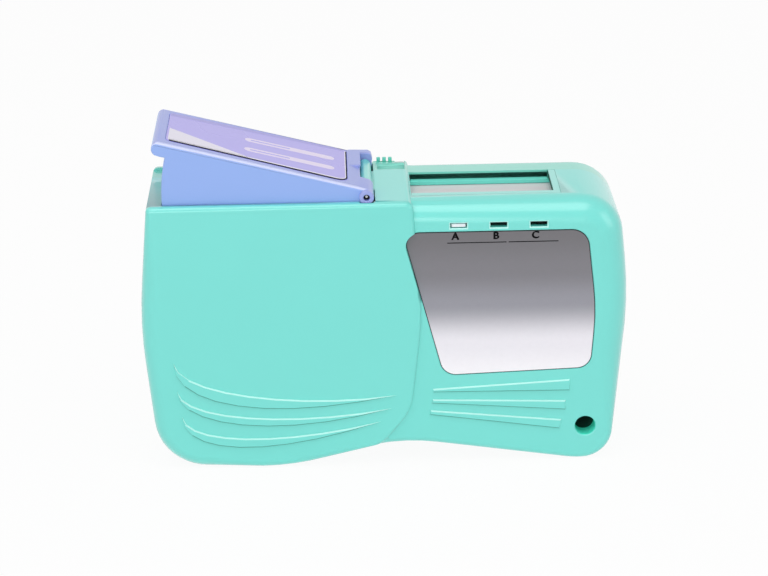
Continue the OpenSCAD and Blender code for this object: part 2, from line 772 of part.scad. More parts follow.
module cover_cuts() {
    well(y_part - cut, y_back_in - seat_gap);
    block([-case_len / 2 - cut, y_part - cut, pin_z + plate_rise - lip_t - pass_gap],
          [x_well + cut, y_back_in - seat_gap, z_block + cut]);
    ybar(strap_r, y_part - cut, y_back + cut, strap_x, strap_z);
    ybar(post_r + pass_gap, y_part, y_reel_back + 2 * pass_gap, supply_x, supply_z);
    // Latch pocket, open at the top and at the back
    block([latch_x - latch_len / 2 - seat_gap, y_back - latch_t - run_gap, z_top - latch_h - seat_gap],
          [latch_x + latch_len / 2 + latch_travel + pass_gap, y_back + cut, z_block + cut]);
    // Room behind the window's back edge, open to the inside under a thin lip
    block([x_window + seat_gap, y_part - cut, z_shutter],
          [win_x, y_part + eave_w, z_top_low - eave_t]);
    // Thumb scoop ahead of the latch
    translate([x_block + wall / 2, y_back - thumb_from_back, z_block - thumb_depth + thumb_r])
        rotate([0, 90, 0])
            cylinder(r = thumb_r, h = block_len - wall);
}

module cover_latch() {
    rib_w = 0.9;
    rib_pitch = 1.6 * rib_w;
    color(green_dark)
        difference() {
            union() {
                block([latch_x - latch_len / 2, y_back - latch_t, z_top - latch_h],
                      [latch_x + latch_len / 2, y_back - seat_gap, z_top - seat_gap]);
                for (k = [-1:1])
                    translate([latch_x + k * rib_pitch, 0, 0])
                        block([-rib_w / 2, y_back - latch_t + rib_w / 3, z_top - rib_w],
                              [rib_w / 2, y_back - rib_w / 3, z_block + rib_w]);
            }
            // Bevel along the outer edge of the body
            translate([latch_x, y_back, z_top])
                rotate([45, 0, 0])
                    cube([2 * latch_len, rib_w / 2, rib_w / 2], center = true);
        }
}

module nameplate() {
    color(grey)
        difference() {
            plate_y(y_front_low, y_front_low + plate_name_t - seat_gap)
                polygon(inset(rounded(name_corners), name_gap));
            for (k = [0:2])
                block([type_x + k * type_pitch - type_w / 2, y_front_low - cut, type_z - type_h / 2],
                      [type_x + k * type_pitch + type_w / 2, y_in_low + cut, type_z + type_h / 2]);
        }
}

// White marker that shows in the first of the three type windows
module type_tab() {
    color(white) {
        block([type_x - type_w / 2 + run_gap, y_front_low + plate_name_t, type_z - type_h / 2 + run_gap],
              [type_x + type_w / 2 - run_gap, y_in_low + 2 * seat_gap, type_z + type_h / 2 - run_gap]);
        block([type_x - 0.75 * type_w, y_in_low + seat_gap, type_z - type_h / 2 - ledge_gap + seat_gap],
              [type_x + 0.75 * type_w, y_in_low + ledge_w / 2, type_z + type_h]);
    }
}

module window_bezel() {
    x0 = x_window + seat_gap;
    x1 = win_x + bezel_w - seat_gap;
    y0 = win_y - bezel_w + seat_gap;
    color(green) {
        block([x0, y0, z_top_low - bezel_t + seat_gap], [x1, win_y, z_top_low]);
        block([win_x, y0, z_top_low - bezel_t + seat_gap], [x1, y_part - seat_gap, z_top_low]);
    }
}

module slot_guide() {
    front = y_chassis;
    color(green)
        difference() {
            union() {
                block([guide_x, front, z_guide_low], [guide_end, rail_back, z_guide]);
                // Long rails that carry the open shutter
                block([guide_left, front, z_guide_low], [guide_end, front + stop_w, z_guide]);
                block([guide_left, shutter_back + shutter_gap, z_guide_low],
                      [guide_end, rail_back, rail_top]);
                block([guide_left, rail_y, z_shutter + shutter_gap], [guide_end, rail_back, rail_top]);
                block([x_window + pass_gap, rail_y, rail_top - seat_gap],
                      [win_x, rail_back, rail_top + rail_crest]);
                block([guide_left, rail_y - stop_w, z_guide_low], [guide_end, rail_back, z_guide]);
                block([guide_left, front, z_guide_low], [guide_left + bridge_w, rail_back, z_guide]);
                // Stop at the end of the shutter's way
                block([shutter_end + shutter_gap, front + stop_w, z_guide_low],
                      [guide_end, rail_back, rail_top]);
            }
            for (k = [-0.5, 0.5])
                block([x_window + slot_inset, y_tape_mid + k * slot_pitch - slot_w / 2, z_guide_low - cut],
                      [slot_end, y_tape_mid + k * slot_pitch + slot_w / 2, z_guide + cut]);
        }
}

module shutter() {
    p = PI * tooth_module;
    half = p / 4 - tooth_play / 4;
    tip = half - addendum * tan(pressure);
    foot = half + dedendum * tan(pressure);
    spare = bridge_w;
    first = ceil((gear_x - spare - rack_x) / p - 0.5);
    last = floor((gear_x + travel + spare - rack_x) / p - 0.5);
    root_z = z_rack + dedendum;
    x0 = rack_x + (first + 0.5) * p - foot - pass_gap;
    x1 = rack_x + (last + 0.5) * p + foot + pass_gap;
    color(grey) {
        block([shutter_x, y_chassis - chassis_t, z_shutter - shutter_t],
              [shutter_end, shutter_back, z_shutter]);
        plate_y(y_gear, y_gear_back)
            polygon(concat(
                [[shutter_end - spare, z_shutter], [x0, z_shutter], [x0, root_z]],
                [for (k = [first:last])
                    let (x = rack_x + (k + 0.5) * p)
                    each [[x - foot, root_z], [x - tip, z_rack - addendum],
                          [x + tip, z_rack - addendum], [x + foot, root_z]]],
                [[x1, root_z], [shutter_end - spare, root_z]]
            ));
    }
}

// Lever drawn about its pin, pressed flat
lip_r = 0.47 * lip_t;
lip_turn = 250;
// Points of an arc from angle a0 to angle a1 in m steps
function arc(r, a0, a1, at = [0, 0], m = 8) = [
    for (k = [0:m])
        let (a = a0 + (a1 - a0) * k / m)
        at + r * [cos(a), sin(a)]
];
side_low = [-sqrt(wall_reach * wall_reach - side_depth_lip * side_depth_lip), -side_depth_lip];

// Side of the lever with its rounded lip. end is how the end wall's outline runs down.
module lever_side(end) {
    polygon(concat(
        [[0, knuckle_r], [-2.2 * knuckle_r, plate_rise]],
        arc(lip_r, 90, 180, [lip_r - reach, plate_rise - lip_r], 6),
        arc(lip_r, 180, lip_turn, [lip_r - reach, plate_rise - lip_t + lip_r], 4),
        [[-wall_reach - lip_overhang / 3, plate_rise - lip_t]],
        end,
        [side_low, [-0.6 * side_depth_pin, -side_depth_pin], [0, -knuckle_r / 2]]
    ));
}

module lever_body() {
    e = 0.83 * lever_wall;
    difference() {
        intersection() {
            union() {
                plate_y(y_lever, y_lever_back)
                    lever_side([[-wall_reach + lever_wall / 2, plate_rise - lip_t]]);
                ybar(wall_reach, y_lever, y_lever_back);
            }
            union() {
                // Long top edges are rounded
                block([-reach - cut, y_lever, -reach], [0, y_lever_back, plate_rise - e]);
                block([-reach - cut, y_lever + e, -reach], [0, y_lever_back - e, plate_rise]);
                for (y = [y_lever + e, y_lever_back - e])
                    translate([-reach - cut, y, plate_rise - e])
                        rotate([0, 90, 0])
                            cylinder(r = e, h = reach + cut);
            }
            plate_y(y_lever, y_lever_back)
                lever_side([
                    [-wall_reach - seat_gap, plate_rise - lip_t],
                    [-wall_reach - seat_gap, -side_depth_lip]
                ]);
        }
        intersection() {
            ybar(wall_reach - lever_wall, y_lever + lever_wall, y_lever_back - lever_wall);
            block([-reach, y_lever, -reach], [reach, y_lever_back, plate_rise - plate_t]);
        }
    }
}

// Toothed slot of the hanging leg: the spaces of an internal gear
slot_margin = 12;
slot_phase = mesh_angle + lever_angle;
slot_from = mesh_angle - slot_margin;
slot_to = slot_phase + slot_margin;
sector_pitch = 360 / sector_teeth;
slot_first = -floor((slot_phase - slot_from) / sector_pitch - 0.5);
slot_last = floor((slot_to - slot_phase) / sector_pitch - 0.5);
slot_low_r = centre_r - pinion_pitch_r - 2 * addendum;
leg_from = 195;
leg_to = slot_to + 4;

module lever_leg() {
    out_r = sector_r + dedendum + 1.8 * web_t;
    difference() {
        plate_y(y_web - seat_gap, y_web + web_t)
            polygon(concat(
                arc(out_r, leg_from, leg_to, m = 20),
                arc(1.4 * knuckle_r, leg_to, leg_from, m = 12)
            ));
        plate_y(y_web - cut, y_web + web_t + cut)
            polygon(concat(
                [slot_low_r * [cos(slot_from), sin(slot_from)],
                 (sector_r - addendum) * [cos(slot_from), sin(slot_from)]],
                [for (k = [slot_first:slot_last])
                    let (at = slot_phase + k * sector_pitch)
                    each tooth(sector_teeth, at, -addendum, dedendum, -tooth_play / 2)],
                [(sector_r - addendum) * [cos(slot_to), sin(slot_to)]],
                arc(slot_low_r, slot_to, slot_from, m = 16)
            ));
    }
}

label_y0 = y_lever + label_margin;
label_y1 = y_lever_back - 0.8 * label_margin;
label_taper = 1.1;
label_x0 = label_from_lip - reach;
label_x1 = -label_from_pin;
label_corners = [
    [label_x0, label_y0, label_margin / 2, 0], [label_x1, label_y0 - label_taper, label_margin, 0],
    [label_x1, label_y1 + label_taper, label_margin / 3, 0], [label_x0, label_y1, label_margin / 3, 0]
];

// Puts a piece of the lever at its pin, standing up as at rest
module at_rest() {
    translate([pin_x, 0, pin_z])
        rotate([0, lever_angle, 0])
            children();
}

// Raised end of the plate at the back, level while the lever stands up
cap_y = 1;
cap_rise = 1.1;
module lever_cap() {
    plate_y(cap_y, y_lever_back)
        polygon([
            [-label_from_pin + pass_gap, plate_rise - plate_t / 2], [-label_from_pin + pass_gap, plate_rise],
            [0, plate_rise + cap_rise], [0.5 * knuckle_r, plate_rise + 0.8 * cap_rise],
            [0.85 * knuckle_r, knuckle_r], [0.9 * knuckle_r, knuckle_r / 3], [0, 0]
        ]);
}

module lever() {
    hook_a = 180 + asin(side_depth_lip / wall_reach);
    color(lavender)
        at_rest()
            difference() {
                union() {
                    difference() {
                        union() {
                            lever_body();
                            lever_cap();
                        }
                        // The plate ends clear of the hinge lug
                        block([-knuckle_r, y_knuckle_end, -side_depth_pin - cut],
                              [2 * knuckle_r, y_lever_back - knuckle_len_rear, plate_rise + cap_rise + cut]);
                    }
                    ybar(knuckle_r, y_knuckle, y_knuckle_end);
                    ybar(knuckle_r, y_lever_back - knuckle_len_rear, y_lever_back);
                    lever_leg();
                    // Hook that stops the lever under the case's top
                    intersection() {
                        difference() {
                            ybar(wall_reach + hook_out, y_lever + hook_inset, y_lever_back - hook_inset);
                            ybar(wall_reach - lever_wall, y_lever - cut, y_lever_back + cut);
                        }
                        rotate([0, -(hook_a - 180), 0])
                            block([-wall_reach - hook_out - cut, y_lever, 0],
                                  [-wall_reach / 2, y_lever_back, hook_h]);
                    }
                }
                ybar(lever_bore_r, y_knuckle - cut, y_lever_back + cut);
                translate([0, 0, plate_rise - label_t])
                    linear_extrude(label_t + cut)
                        polygon(inset(rounded(label_corners), -seat_gap));
            }
}

module lever_label() {
    color(green_dark)
        at_rest()
            translate([0, 0, plate_rise - label_t + seat_gap])
                linear_extrude(label_t - seat_gap)
                    polygon(plain(label_corners));
}

pin_sunk = 0.6;
module lever_pin() {
    color(steel)
        ybar(pin_r, y_knuckle + pin_sunk, y_lever_back - seat_gap, pin_x, pin_z);
}

spring_along_share = 0.187;
spring_x = (spring_along_share - 0.5) * case_len;
spring_y = 0;
spring_r = 2.8;
spring_wire = 0.4;
spring_turns = 7;
shelf_rise = 6.4;
shelf_z = gear_z + shelf_rise;
shelf_t = 1.4;
stub_h = 1.5;
spring_top = pin_z + (pin_x - spring_x - spring_r - spring_wire) * tan(lever_angle)
    + plate_rise - plate_t - tape_gap;

// Points of the spring's tube: rings of spring_sides points along a helix
spring_sides = 5;
spring_rings = 10;
spring_steps = spring_rings * spring_turns;
spring_rise = (spring_top - shelf_z - seat_gap - 2 * spring_wire) / spring_steps;

module lever_spring() {
    points = [
        for (k = [0:spring_steps])
            for (i = [0:spring_sides - 1])
                let (
                    a = 360 * k / spring_rings,
                    b = 360 * i / spring_sides,
                    r = spring_r + spring_wire * cos(b)
                )
                [r * cos(a), r * sin(a), spring_wire * (1 + sin(b)) + k * spring_rise]
    ];
    sides = [
        for (k = [0:spring_steps - 1])
            for (i = [0:spring_sides - 1])
                let (a = k * spring_sides + i, b = k * spring_sides + (i + 1) % spring_sides)
                each [[a, b, a + spring_sides], [b, b + spring_sides, a + spring_sides]]
    ];
    first = [for (i = [spring_sides - 1:-1:0]) i];
    last = [for (i = [0:spring_sides - 1]) spring_steps * spring_sides + i];
    color(steel)
        translate([spring_x, spring_y, shelf_z + seat_gap])
            polyhedron(points, concat(sides, [first, last]), convexity = 10);
}

bush_r = shaft_r + chassis_t;
bush_lip = 0.5;
screw_head_t = 0.7;
screw_slot = 0.4;

module chassis_plate() {
    top = z_guide_low - seat_gap;
    color(steel)
        difference() {
            union() {
                intersection() {
                    plate_y(y_chassis, y_chassis_back)
                        inner_outline(1.8 * wall);
                    union() {
                        block([-case_len, y_chassis - cut, 0],
                              [case_len, y_chassis_back + cut, gear_z - wall / 2]);
                        block([pin_x - wall_reach + 3 * wall, y_chassis - cut, 0],
                              [case_len, y_chassis_back + cut, top]);
                    }
                }
                block([spring_x - spring_r - chassis_t, y_chassis, shelf_z - shelf_t],
                      [spring_x + spring_r + chassis_t, spring_y + spring_r + chassis_t, shelf_z]);
                translate([spring_x, spring_y, shelf_z - shelf_t / 2])
                    cylinder(r = spring_r - 2 * spring_wire, h = shelf_t / 2 + stub_h);
            }
            ybar(strap_r + strap_wall + pass_gap, y_chassis - cut, y_chassis_back + cut, strap_x, strap_z);
            for (p = [[gear_x, gear_z], [idler_x, idler_z]])
                ybar(axle_r + seat_gap, y_chassis - cut, y_chassis_back + cut, p[0], p[1]);
            ybar(post_r + seat_gap, y_chassis - cut, y_chassis_back + cut, supply_x, supply_z);
            ybar(bush_r + seat_gap, y_chassis - cut, y_chassis_back + cut, takeup_x, takeup_z);
            for (x = [roller_left_x, roller_right_x])
                ybar(roller_axle_r + seat_gap, y_chassis - cut, y_chassis_back + cut, x, z_roller);
            for (p = screw_posts)
                ybar(screw_r + seat_gap, y_chassis - cut, y_chassis_back + cut, p[0], p[1]);
        }
}

module chassis_screws() {
    color(steel)
        for (p = screw_posts) {
            ybar(screw_r, y_in_low + pass_gap, y_chassis_back + 2 * seat_gap, p[0], p[1]);
            difference() {
                ybar(2 * screw_r, y_chassis_back + seat_gap, y_chassis_back + screw_head_t, p[0], p[1]);
                block([p[0] - 2 * screw_r, y_chassis_back + screw_head_t / 2, p[1] - screw_slot / 2],
                      [p[0] + 2 * screw_r, y_chassis_back + cut, p[1] + screw_slot / 2]);
            }
        }
}

module gear(z, phase, bore, y0, y1, x, gz) {
    translate([x, 0, gz])
        difference() {
            plate_y(y0, y1)
                gear_shape(z, phase);
            ybar(bore, y0 - cut, y1 + cut);
        }
}

module drive_gear() {
    bore = axle_r + run_gap;
    y0 = y_web - 2 * run_gap;
    color(white) {
        gear(gear_teeth, gear_phase, bore, y_gear, y_gear_back, gear_x, gear_z);
        gear(pinion_teeth, pinion_phase, bore, y0, y_gear + seat_gap, gear_x, gear_z);
    }
}

module axle(y0, y1, r, x, z) {
    color(steel)
        ybar(r, y0, y1, x, z);
}

module drive_gear_axle() {
    axle(y_in - wall / 2 + seat_gap, y_chassis_back, axle_r, gear_x, gear_z);
}

module idler_gear() {
    color(white)
        gear(idler_teeth, idler_phase, axle_r + run_gap, y_gear, y_gear_back, idler_x, idler_z);
}

module idler_axle() {
    axle(y_in_low - wall / 2 + seat_gap, y_chassis_back, axle_r, idler_x, idler_z);
}

pawl_r = 9.5;
pawl_angle = -60;
pawl_lead = 38;
pawl_post_r = 1;
pawl_gap = 0.15;
pawl_y = y_web + run_gap;
pawl_t = 1.1;
leaf_half = 0.35;
eye_wall = 0.6;
catch_r = 15;
catch_angle = 145;
catch_lead = 35;

function polar(r, a) = [takeup_x + r * cos(a), takeup_z + r * sin(a)];

// Flexible leaf from an eye to just off the tips of the ratchet wheel
module leaf_shape(post, tip, r) {
    d = unit(tip - post);
    w = [-d[1], d[0]] * leaf_half;
    translate(post)
        circle(r = r);
    polygon([post - w, tip - w * 0.4, tip + w * 0.4, post + w]);
}

module takeup_wheel() {
    post = polar(pawl_r, pawl_angle);
    color(white) {
        gear(takeup_teeth, takeup_phase, shaft_r + run_gap, y_gear, y_gear_back, takeup_x, takeup_z);
        ybar(pawl_post_r, pawl_y, y_gear + seat_gap, post[0], post[1]);
    }
}

module pawl(r, angle, lead) {
    post = polar(r, angle);
    tip = polar(ratchet_r + pawl_gap, angle + lead);
    color(steel)
        difference() {
            plate_y(pawl_y, pawl_y + pawl_t)
                leaf_shape(post, tip, pawl_post_r + eye_wall);
            ybar(pawl_post_r + seat_gap, pawl_y - cut, pawl_y + pawl_t + cut, post[0], post[1]);
        }
}

module drive_pawl() {
    pawl(pawl_r, pawl_angle, pawl_lead);
}

module check_pawl() {
    pawl(catch_r, catch_angle, catch_lead);
}

module ratchet_wheel() {
    step = 360 / ratchet_teeth;
    root = 0.886 * ratchet_r;
    color(steel)
        translate([takeup_x, 0, takeup_z])
            difference() {
                plate_y(y_web - seat_gap, pawl_y + pawl_t)
                    polygon([
                        for (k = [0:ratchet_teeth - 1])
                            let (way = [cos(k * step), sin(k * step)])
                            each [root * way, ratchet_r * way]
                    ]);
                ybar(shaft_r + seat_gap, y_web - cut, pawl_y + pawl_t + cut);
            }
}

module takeup_shaft() {
    y0 = y_in_low + pass_gap;
    color(steel) {
        ybar(shaft_r, y0, y_reel_back + seat_gap, takeup_x, takeup_z);
        ybar(shaft_r / 2, y0 - wall / 2, y0 + seat_gap, takeup_x, takeup_z);
    }
}

module shaft_bush() {
    y1 = y_chassis_back + bush_lip;
    color(white)
        difference() {
            union() {
                ybar(bush_r, y_chassis + seat_gap, y1, takeup_x, takeup_z);
                ybar(bush_r + chassis_t, y_chassis_back + seat_gap, y1, takeup_x, takeup_z);
            }
            ybar(shaft_r + run_gap, y_chassis - cut, y_chassis_back + cut, takeup_x, takeup_z);
        }
}

module reel(x, z, r, bore) {
    holes = 6;
    translate([x, 0, z])
        difference() {
            union() {
                ybar(r, y_flange, y_flange + flange_t);
                ybar(hub_r, y_flange, y_reel_back);
                ybar(r, y_reel_back - flange_t, y_reel_back);
            }
            ybar(bore, y_flange - cut, y_reel_back + cut);
            for (k = [0:holes - 1])
                rotate([0, 360 * k / holes, 0])
                    ybar(hub_r / 2.2, y_flange - cut, y_reel_back + cut, 0.64 * r, 0);
        }
}

module winding(x, z, r) {
    color(white)
        translate([x, 0, z])
            difference() {
                ybar(r, y_tape, y_tape_back);
                ybar(hub_r + seat_gap, y_tape - cut, y_tape_back + cut);
            }
}

module takeup_reel() {
    color(grey)
        reel(takeup_x, takeup_z, takeup_r, shaft_r + seat_gap);
}

module takeup_winding() {
    winding(takeup_x, takeup_z, takeup_wound_r);
}

module supply_axle() {
    color(steel) {
        ybar(post_r, y_chassis + seat_gap, y_reel_back + pass_gap, supply_x, supply_z);
        ybar(1.5 * post_r, y_chassis_back + seat_gap, y_flange - pass_gap, supply_x, supply_z);
    }
}

module supply_reel() {
    color(grey)
        reel(supply_x, supply_z, supply_r, post_r + run_gap);
}

module supply_winding() {
    winding(supply_x, supply_z, supply_wound_r);
}

// Leaf on the chassis that keeps the supply reel from running on
module supply_brake() {
    y0 = y_chassis_back + seat_gap;
    z0 = supply_z + 0.3 * supply_r;
    color(steel) {
        block([supply_x - hub_r / 3, y0, z0], [supply_x + hub_r / 3, y0 + pass_gap, z0 + 0.6 * supply_r]);
        ybar(hub_r / 3, y0, y_flange - run_gap, supply_x, z0 + 0.45 * supply_r);
    }
}

module roller(x) {
    color(white)
        translate([x, 0, z_roller])
            difference() {
                ybar(roller_r, y_chassis_back + 2 * pass_gap, y_tape_back + pass_gap);
                ybar(roller_axle_r + run_gap, y_chassis_back - cut, y_tape_back + cut);
            }
}

module guide_roller_left() {
    roller(roller_left_x);
}

module guide_roller_right() {
    roller(roller_right_x);
}

module roller_axles() {
    y1 = y_tape_back + 2 * pass_gap;
    color(steel)
        for (x = [roller_left_x, roller_right_x]) {
            ybar(roller_axle_r, y_chassis + seat_gap, y1 + 2 * pass_gap, x, z_roller);
            ybar(1.7 * roller_axle_r, y1, y1 + 2 * pass_gap, x, z_roller);
            ybar(1.7 * roller_axle_r, y_chassis_back + seat_gap, y_chassis_back + pass_gap, x, z_roller);
        }
}

z_pad = z_tape_low - run_gap;
z_holder = z_pad - pad_t - seat_gap;
holder_t = 2;
holder_rim = 0.5;
holder_foot = 1.4;

module platen_holder() {
    color(grey) {
        block([pad_x - holder_rim, y_chassis_back + seat_gap, z_holder - holder_t],
              [pad_end + holder_rim, y_tape_back + holder_rim, z_holder]);
        block([pad_x - holder_rim, y_chassis_back + seat_gap, z_holder - 2.5 * holder_t],
              [pad_end + holder_rim, y_chassis_back + holder_foot, z_holder]);
    }
}

module platen_pad() {
    color(rubber)
        block([pad_x, y_tape, z_holder + seat_gap], [pad_end, y_tape_back, z_pad]);
}

// Tape run: from the supply winding over both rollers to the far side of the take-up winding
tape_mid = tape_t / 2;
run_roller_r = roller_r + tape_gap + tape_mid;
run_supply_r = supply_wound_r + wind_gap + tape_mid;
run_takeup_r = takeup_wound_r + wind_gap + tape_mid;
left_leg = [roller_left_x - supply_x, z_roller - supply_z];
left_normal = atan2(left_leg[1], left_leg[0]) + acos((run_supply_r - run_roller_r) / norm(left_leg));
right_leg = [takeup_x - roller_right_x, takeup_z - z_roller];
right_normal = atan2(right_leg[1], right_leg[0]) + acos((run_roller_r + run_takeup_r) / norm(right_leg));

function tape_side(s) = concat(
    [[supply_x, supply_z] + (run_supply_r + s) * [cos(left_normal), sin(left_normal)]],
    arc(run_roller_r + s, left_normal, 90, [roller_left_x, z_roller], 4),
    arc(run_roller_r + s, 90, right_normal, [roller_right_x, z_roller], 14),
    [[takeup_x, takeup_z] - (run_takeup_r - s) * [cos(right_normal), sin(right_normal)]]
);

module cleaning_tape() {
    near = tape_side(-tape_mid);
    color(white)
        plate_y(y_tape, y_tape_back)
            polygon(concat(tape_side(tape_mid), [for (k = [len(near) - 1:-1:0]) near[k]]));
}

front_case();
rear_cover();
cover_latch();
nameplate();
window_bezel();
type_tab();
slot_guide();
shutter();
lever();
lever_label();
lever_pin();
lever_spring();
chassis_plate();
chassis_screws();
drive_gear();
drive_gear_axle();
idler_gear();
idler_axle();
takeup_wheel();
drive_pawl();
ratchet_wheel();
check_pawl();
takeup_shaft();
shaft_bush();
takeup_reel();
takeup_winding();
supply_axle();
supply_reel();
supply_winding();
supply_brake();
guide_roller_left();
guide_roller_right();
roller_axles();
platen_holder();
platen_pad();
cleaning_tape();
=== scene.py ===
import math
import bmesh
import bpy
from mathutils import Matrix, Vector


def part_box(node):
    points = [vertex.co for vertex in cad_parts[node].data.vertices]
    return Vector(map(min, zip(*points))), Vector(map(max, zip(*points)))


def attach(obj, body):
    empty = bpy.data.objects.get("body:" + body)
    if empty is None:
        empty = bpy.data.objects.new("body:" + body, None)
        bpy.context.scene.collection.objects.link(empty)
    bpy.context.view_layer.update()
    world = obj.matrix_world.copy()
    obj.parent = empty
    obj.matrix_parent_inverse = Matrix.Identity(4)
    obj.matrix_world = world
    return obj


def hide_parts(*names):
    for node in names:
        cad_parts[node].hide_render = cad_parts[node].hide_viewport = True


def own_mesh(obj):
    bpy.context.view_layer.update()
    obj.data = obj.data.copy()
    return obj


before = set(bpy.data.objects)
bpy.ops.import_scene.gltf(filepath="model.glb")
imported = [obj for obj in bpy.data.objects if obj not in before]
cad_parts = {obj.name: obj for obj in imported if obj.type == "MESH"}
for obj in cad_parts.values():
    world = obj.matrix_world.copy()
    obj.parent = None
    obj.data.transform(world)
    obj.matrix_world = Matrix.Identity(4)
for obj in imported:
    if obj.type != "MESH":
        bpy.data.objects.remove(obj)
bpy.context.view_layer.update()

# The studio: a plain white floor that keeps a faint shadow, one broad soft lamp above, a wide one
# in front on the left and a weak one on the right. The camera has the photograph's long lens, 22
# degrees above the case and a touch to its left.
MM = 0.001
photo_width = 768
lens_px = 2332
sensor_width = 36
look_down = math.radians(22)
look_aside = math.radians(-1.26)
roll = math.radians(-0.78)
camera_far = 574 * MM
aim = Vector((0.32, 0, 40.86)) * MM
room_light_strength = 0.43
floor_white_share = 0.94

back = Vector((
    math.sin(look_aside) * math.cos(look_down),
    -math.cos(look_aside) * math.cos(look_down),
    math.sin(look_down),
))
right = Vector((math.cos(look_aside), math.sin(look_aside), 0))
up = back.cross(right)
camera_right = right * math.cos(roll) + up * math.sin(roll)
camera_up = up * math.cos(roll) - right * math.sin(roll)
camera_turn = Matrix((camera_right, camera_up, back)).transposed().to_4x4()
camera_data = bpy.data.cameras.new("camera")
camera_data.sensor_width = sensor_width
camera_data.lens = sensor_width * lens_px / photo_width
camera = bpy.data.objects.new("camera", camera_data)
camera.matrix_world = Matrix.Translation(aim + back * camera_far) @ camera_turn
bpy.context.collection.objects.link(camera)
bpy.context.scene.camera = camera
bpy.context.scene.view_settings.view_transform = "Standard"


def soft_lamp(name, place, width, height, watts):
    """A rectangular lamp that looks at the middle of the case."""
    data = bpy.data.lights.new(name, "AREA")
    data.shape = "RECTANGLE"
    data.size = width
    data.size_y = height
    data.energy = watts
    lamp = bpy.data.objects.new(name, data)
    lamp_turn = (Vector(place) - aim).to_track_quat("Z", "Y").to_matrix().to_4x4()
    lamp.matrix_world = Matrix.Translation(place) @ lamp_turn
    bpy.context.collection.objects.link(lamp)


soft_lamp("lamp_above", (-0.10, -0.28, 0.86), 0.9, 0.6, 3.55)
soft_lamp("lamp_front", (-0.28, -0.95, 0.14), 0.8, 0.4, 2.75)
soft_lamp("lamp_right", (0.80, -0.35, 0.35), 0.4, 0.5, 0.95)


def calculated(tree, operation, *values):
    """Result of one Math node. Each value is another node's output or a plain number."""
    node = tree.nodes.new("ShaderNodeMath")
    node.operation = operation
    for socket, value in zip(node.inputs, values):
        if isinstance(value, bpy.types.NodeSocket):
            tree.links.new(value, socket)
        else:
            socket.default_value = value
    return node.outputs[0]


def shows_backdrop(tree):
    """1 for the rays that show the backdrop itself: seen directly, in gloss or through clear things."""
    path = tree.nodes.new("ShaderNodeLightPath")
    seen = calculated(tree, "MAXIMUM", path.outputs["Is Camera Ray"], path.outputs["Is Glossy Ray"])
    return calculated(tree, "MAXIMUM", seen, path.outputs["Is Transmission Ray"])


world = bpy.data.worlds.new("white_room")
world.use_nodes = True
room = world.node_tree
room_light = room.nodes["Background"]
room_light.inputs["Color"].default_value = (1, 1, 1, 1)
room_level = room.nodes.new("ShaderNodeMapRange")
room_level.inputs["To Min"].default_value = room_light_strength
room_level.inputs["To Max"].default_value = 1.0
room.links.new(shows_backdrop(room), room_level.inputs["Value"])
room.links.new(room_level.outputs["Result"], room_light.inputs["Strength"])
bpy.context.scene.world = world

floor_mesh = bpy.data.meshes.new("floor")
floor_shape = bmesh.new()
bmesh.ops.create_grid(floor_shape, x_segments=1, y_segments=1, size=4)
floor_shape.to_mesh(floor_mesh)
floor_shape.free()
floor = bpy.data.objects.new("floor", floor_mesh)
bpy.context.collection.objects.link(floor)
paper = bpy.data.materials.new("white_paper")
paper.use_nodes = True
paper_tree = paper.node_tree
paper_base = paper_tree.nodes["Principled BSDF"]
paper_base.inputs["Base Color"].default_value = (0.90, 0.90, 0.90, 1)
paper_base.inputs["Roughness"].default_value = 0.9
paper_glow = paper_tree.nodes.new("ShaderNodeEmission")
paper_glow.inputs["Color"].default_value = (1, 1, 1, 1)
paper_mix = paper_tree.nodes.new("ShaderNodeMixShader")
paper_share = calculated(paper_tree, "MULTIPLY", shows_backdrop(paper_tree), floor_white_share)
paper_tree.links.new(paper_share, paper_mix.inputs[0])
paper_tree.links.new(paper_base.outputs[0], paper_mix.inputs[1])
paper_tree.links.new(paper_glow.outputs[0], paper_mix.inputs[2])
paper_tree.links.new(paper_mix.outputs[0], paper_tree.nodes["Material Output"].inputs["Surface"])
floor_mesh.materials.append(paper)


# Front shell of the case: injection-moulded mint-green ABS with a fine satin grain. The lobe that
# fills the palm stands one step ahead of the window's end, and low ribs give the fingers a hold.
def rgb(code):
    """Colour as Blender wants it from a plain hex code."""
    parts = [int(code[start:start + 2], 16) / 255 for start in (1, 3, 5)]
    linear = [part / 12.92 if part <= 0.04045 else ((part + 0.055) / 1.055) ** 2.4 for part in parts]
    return (*linear, 1)


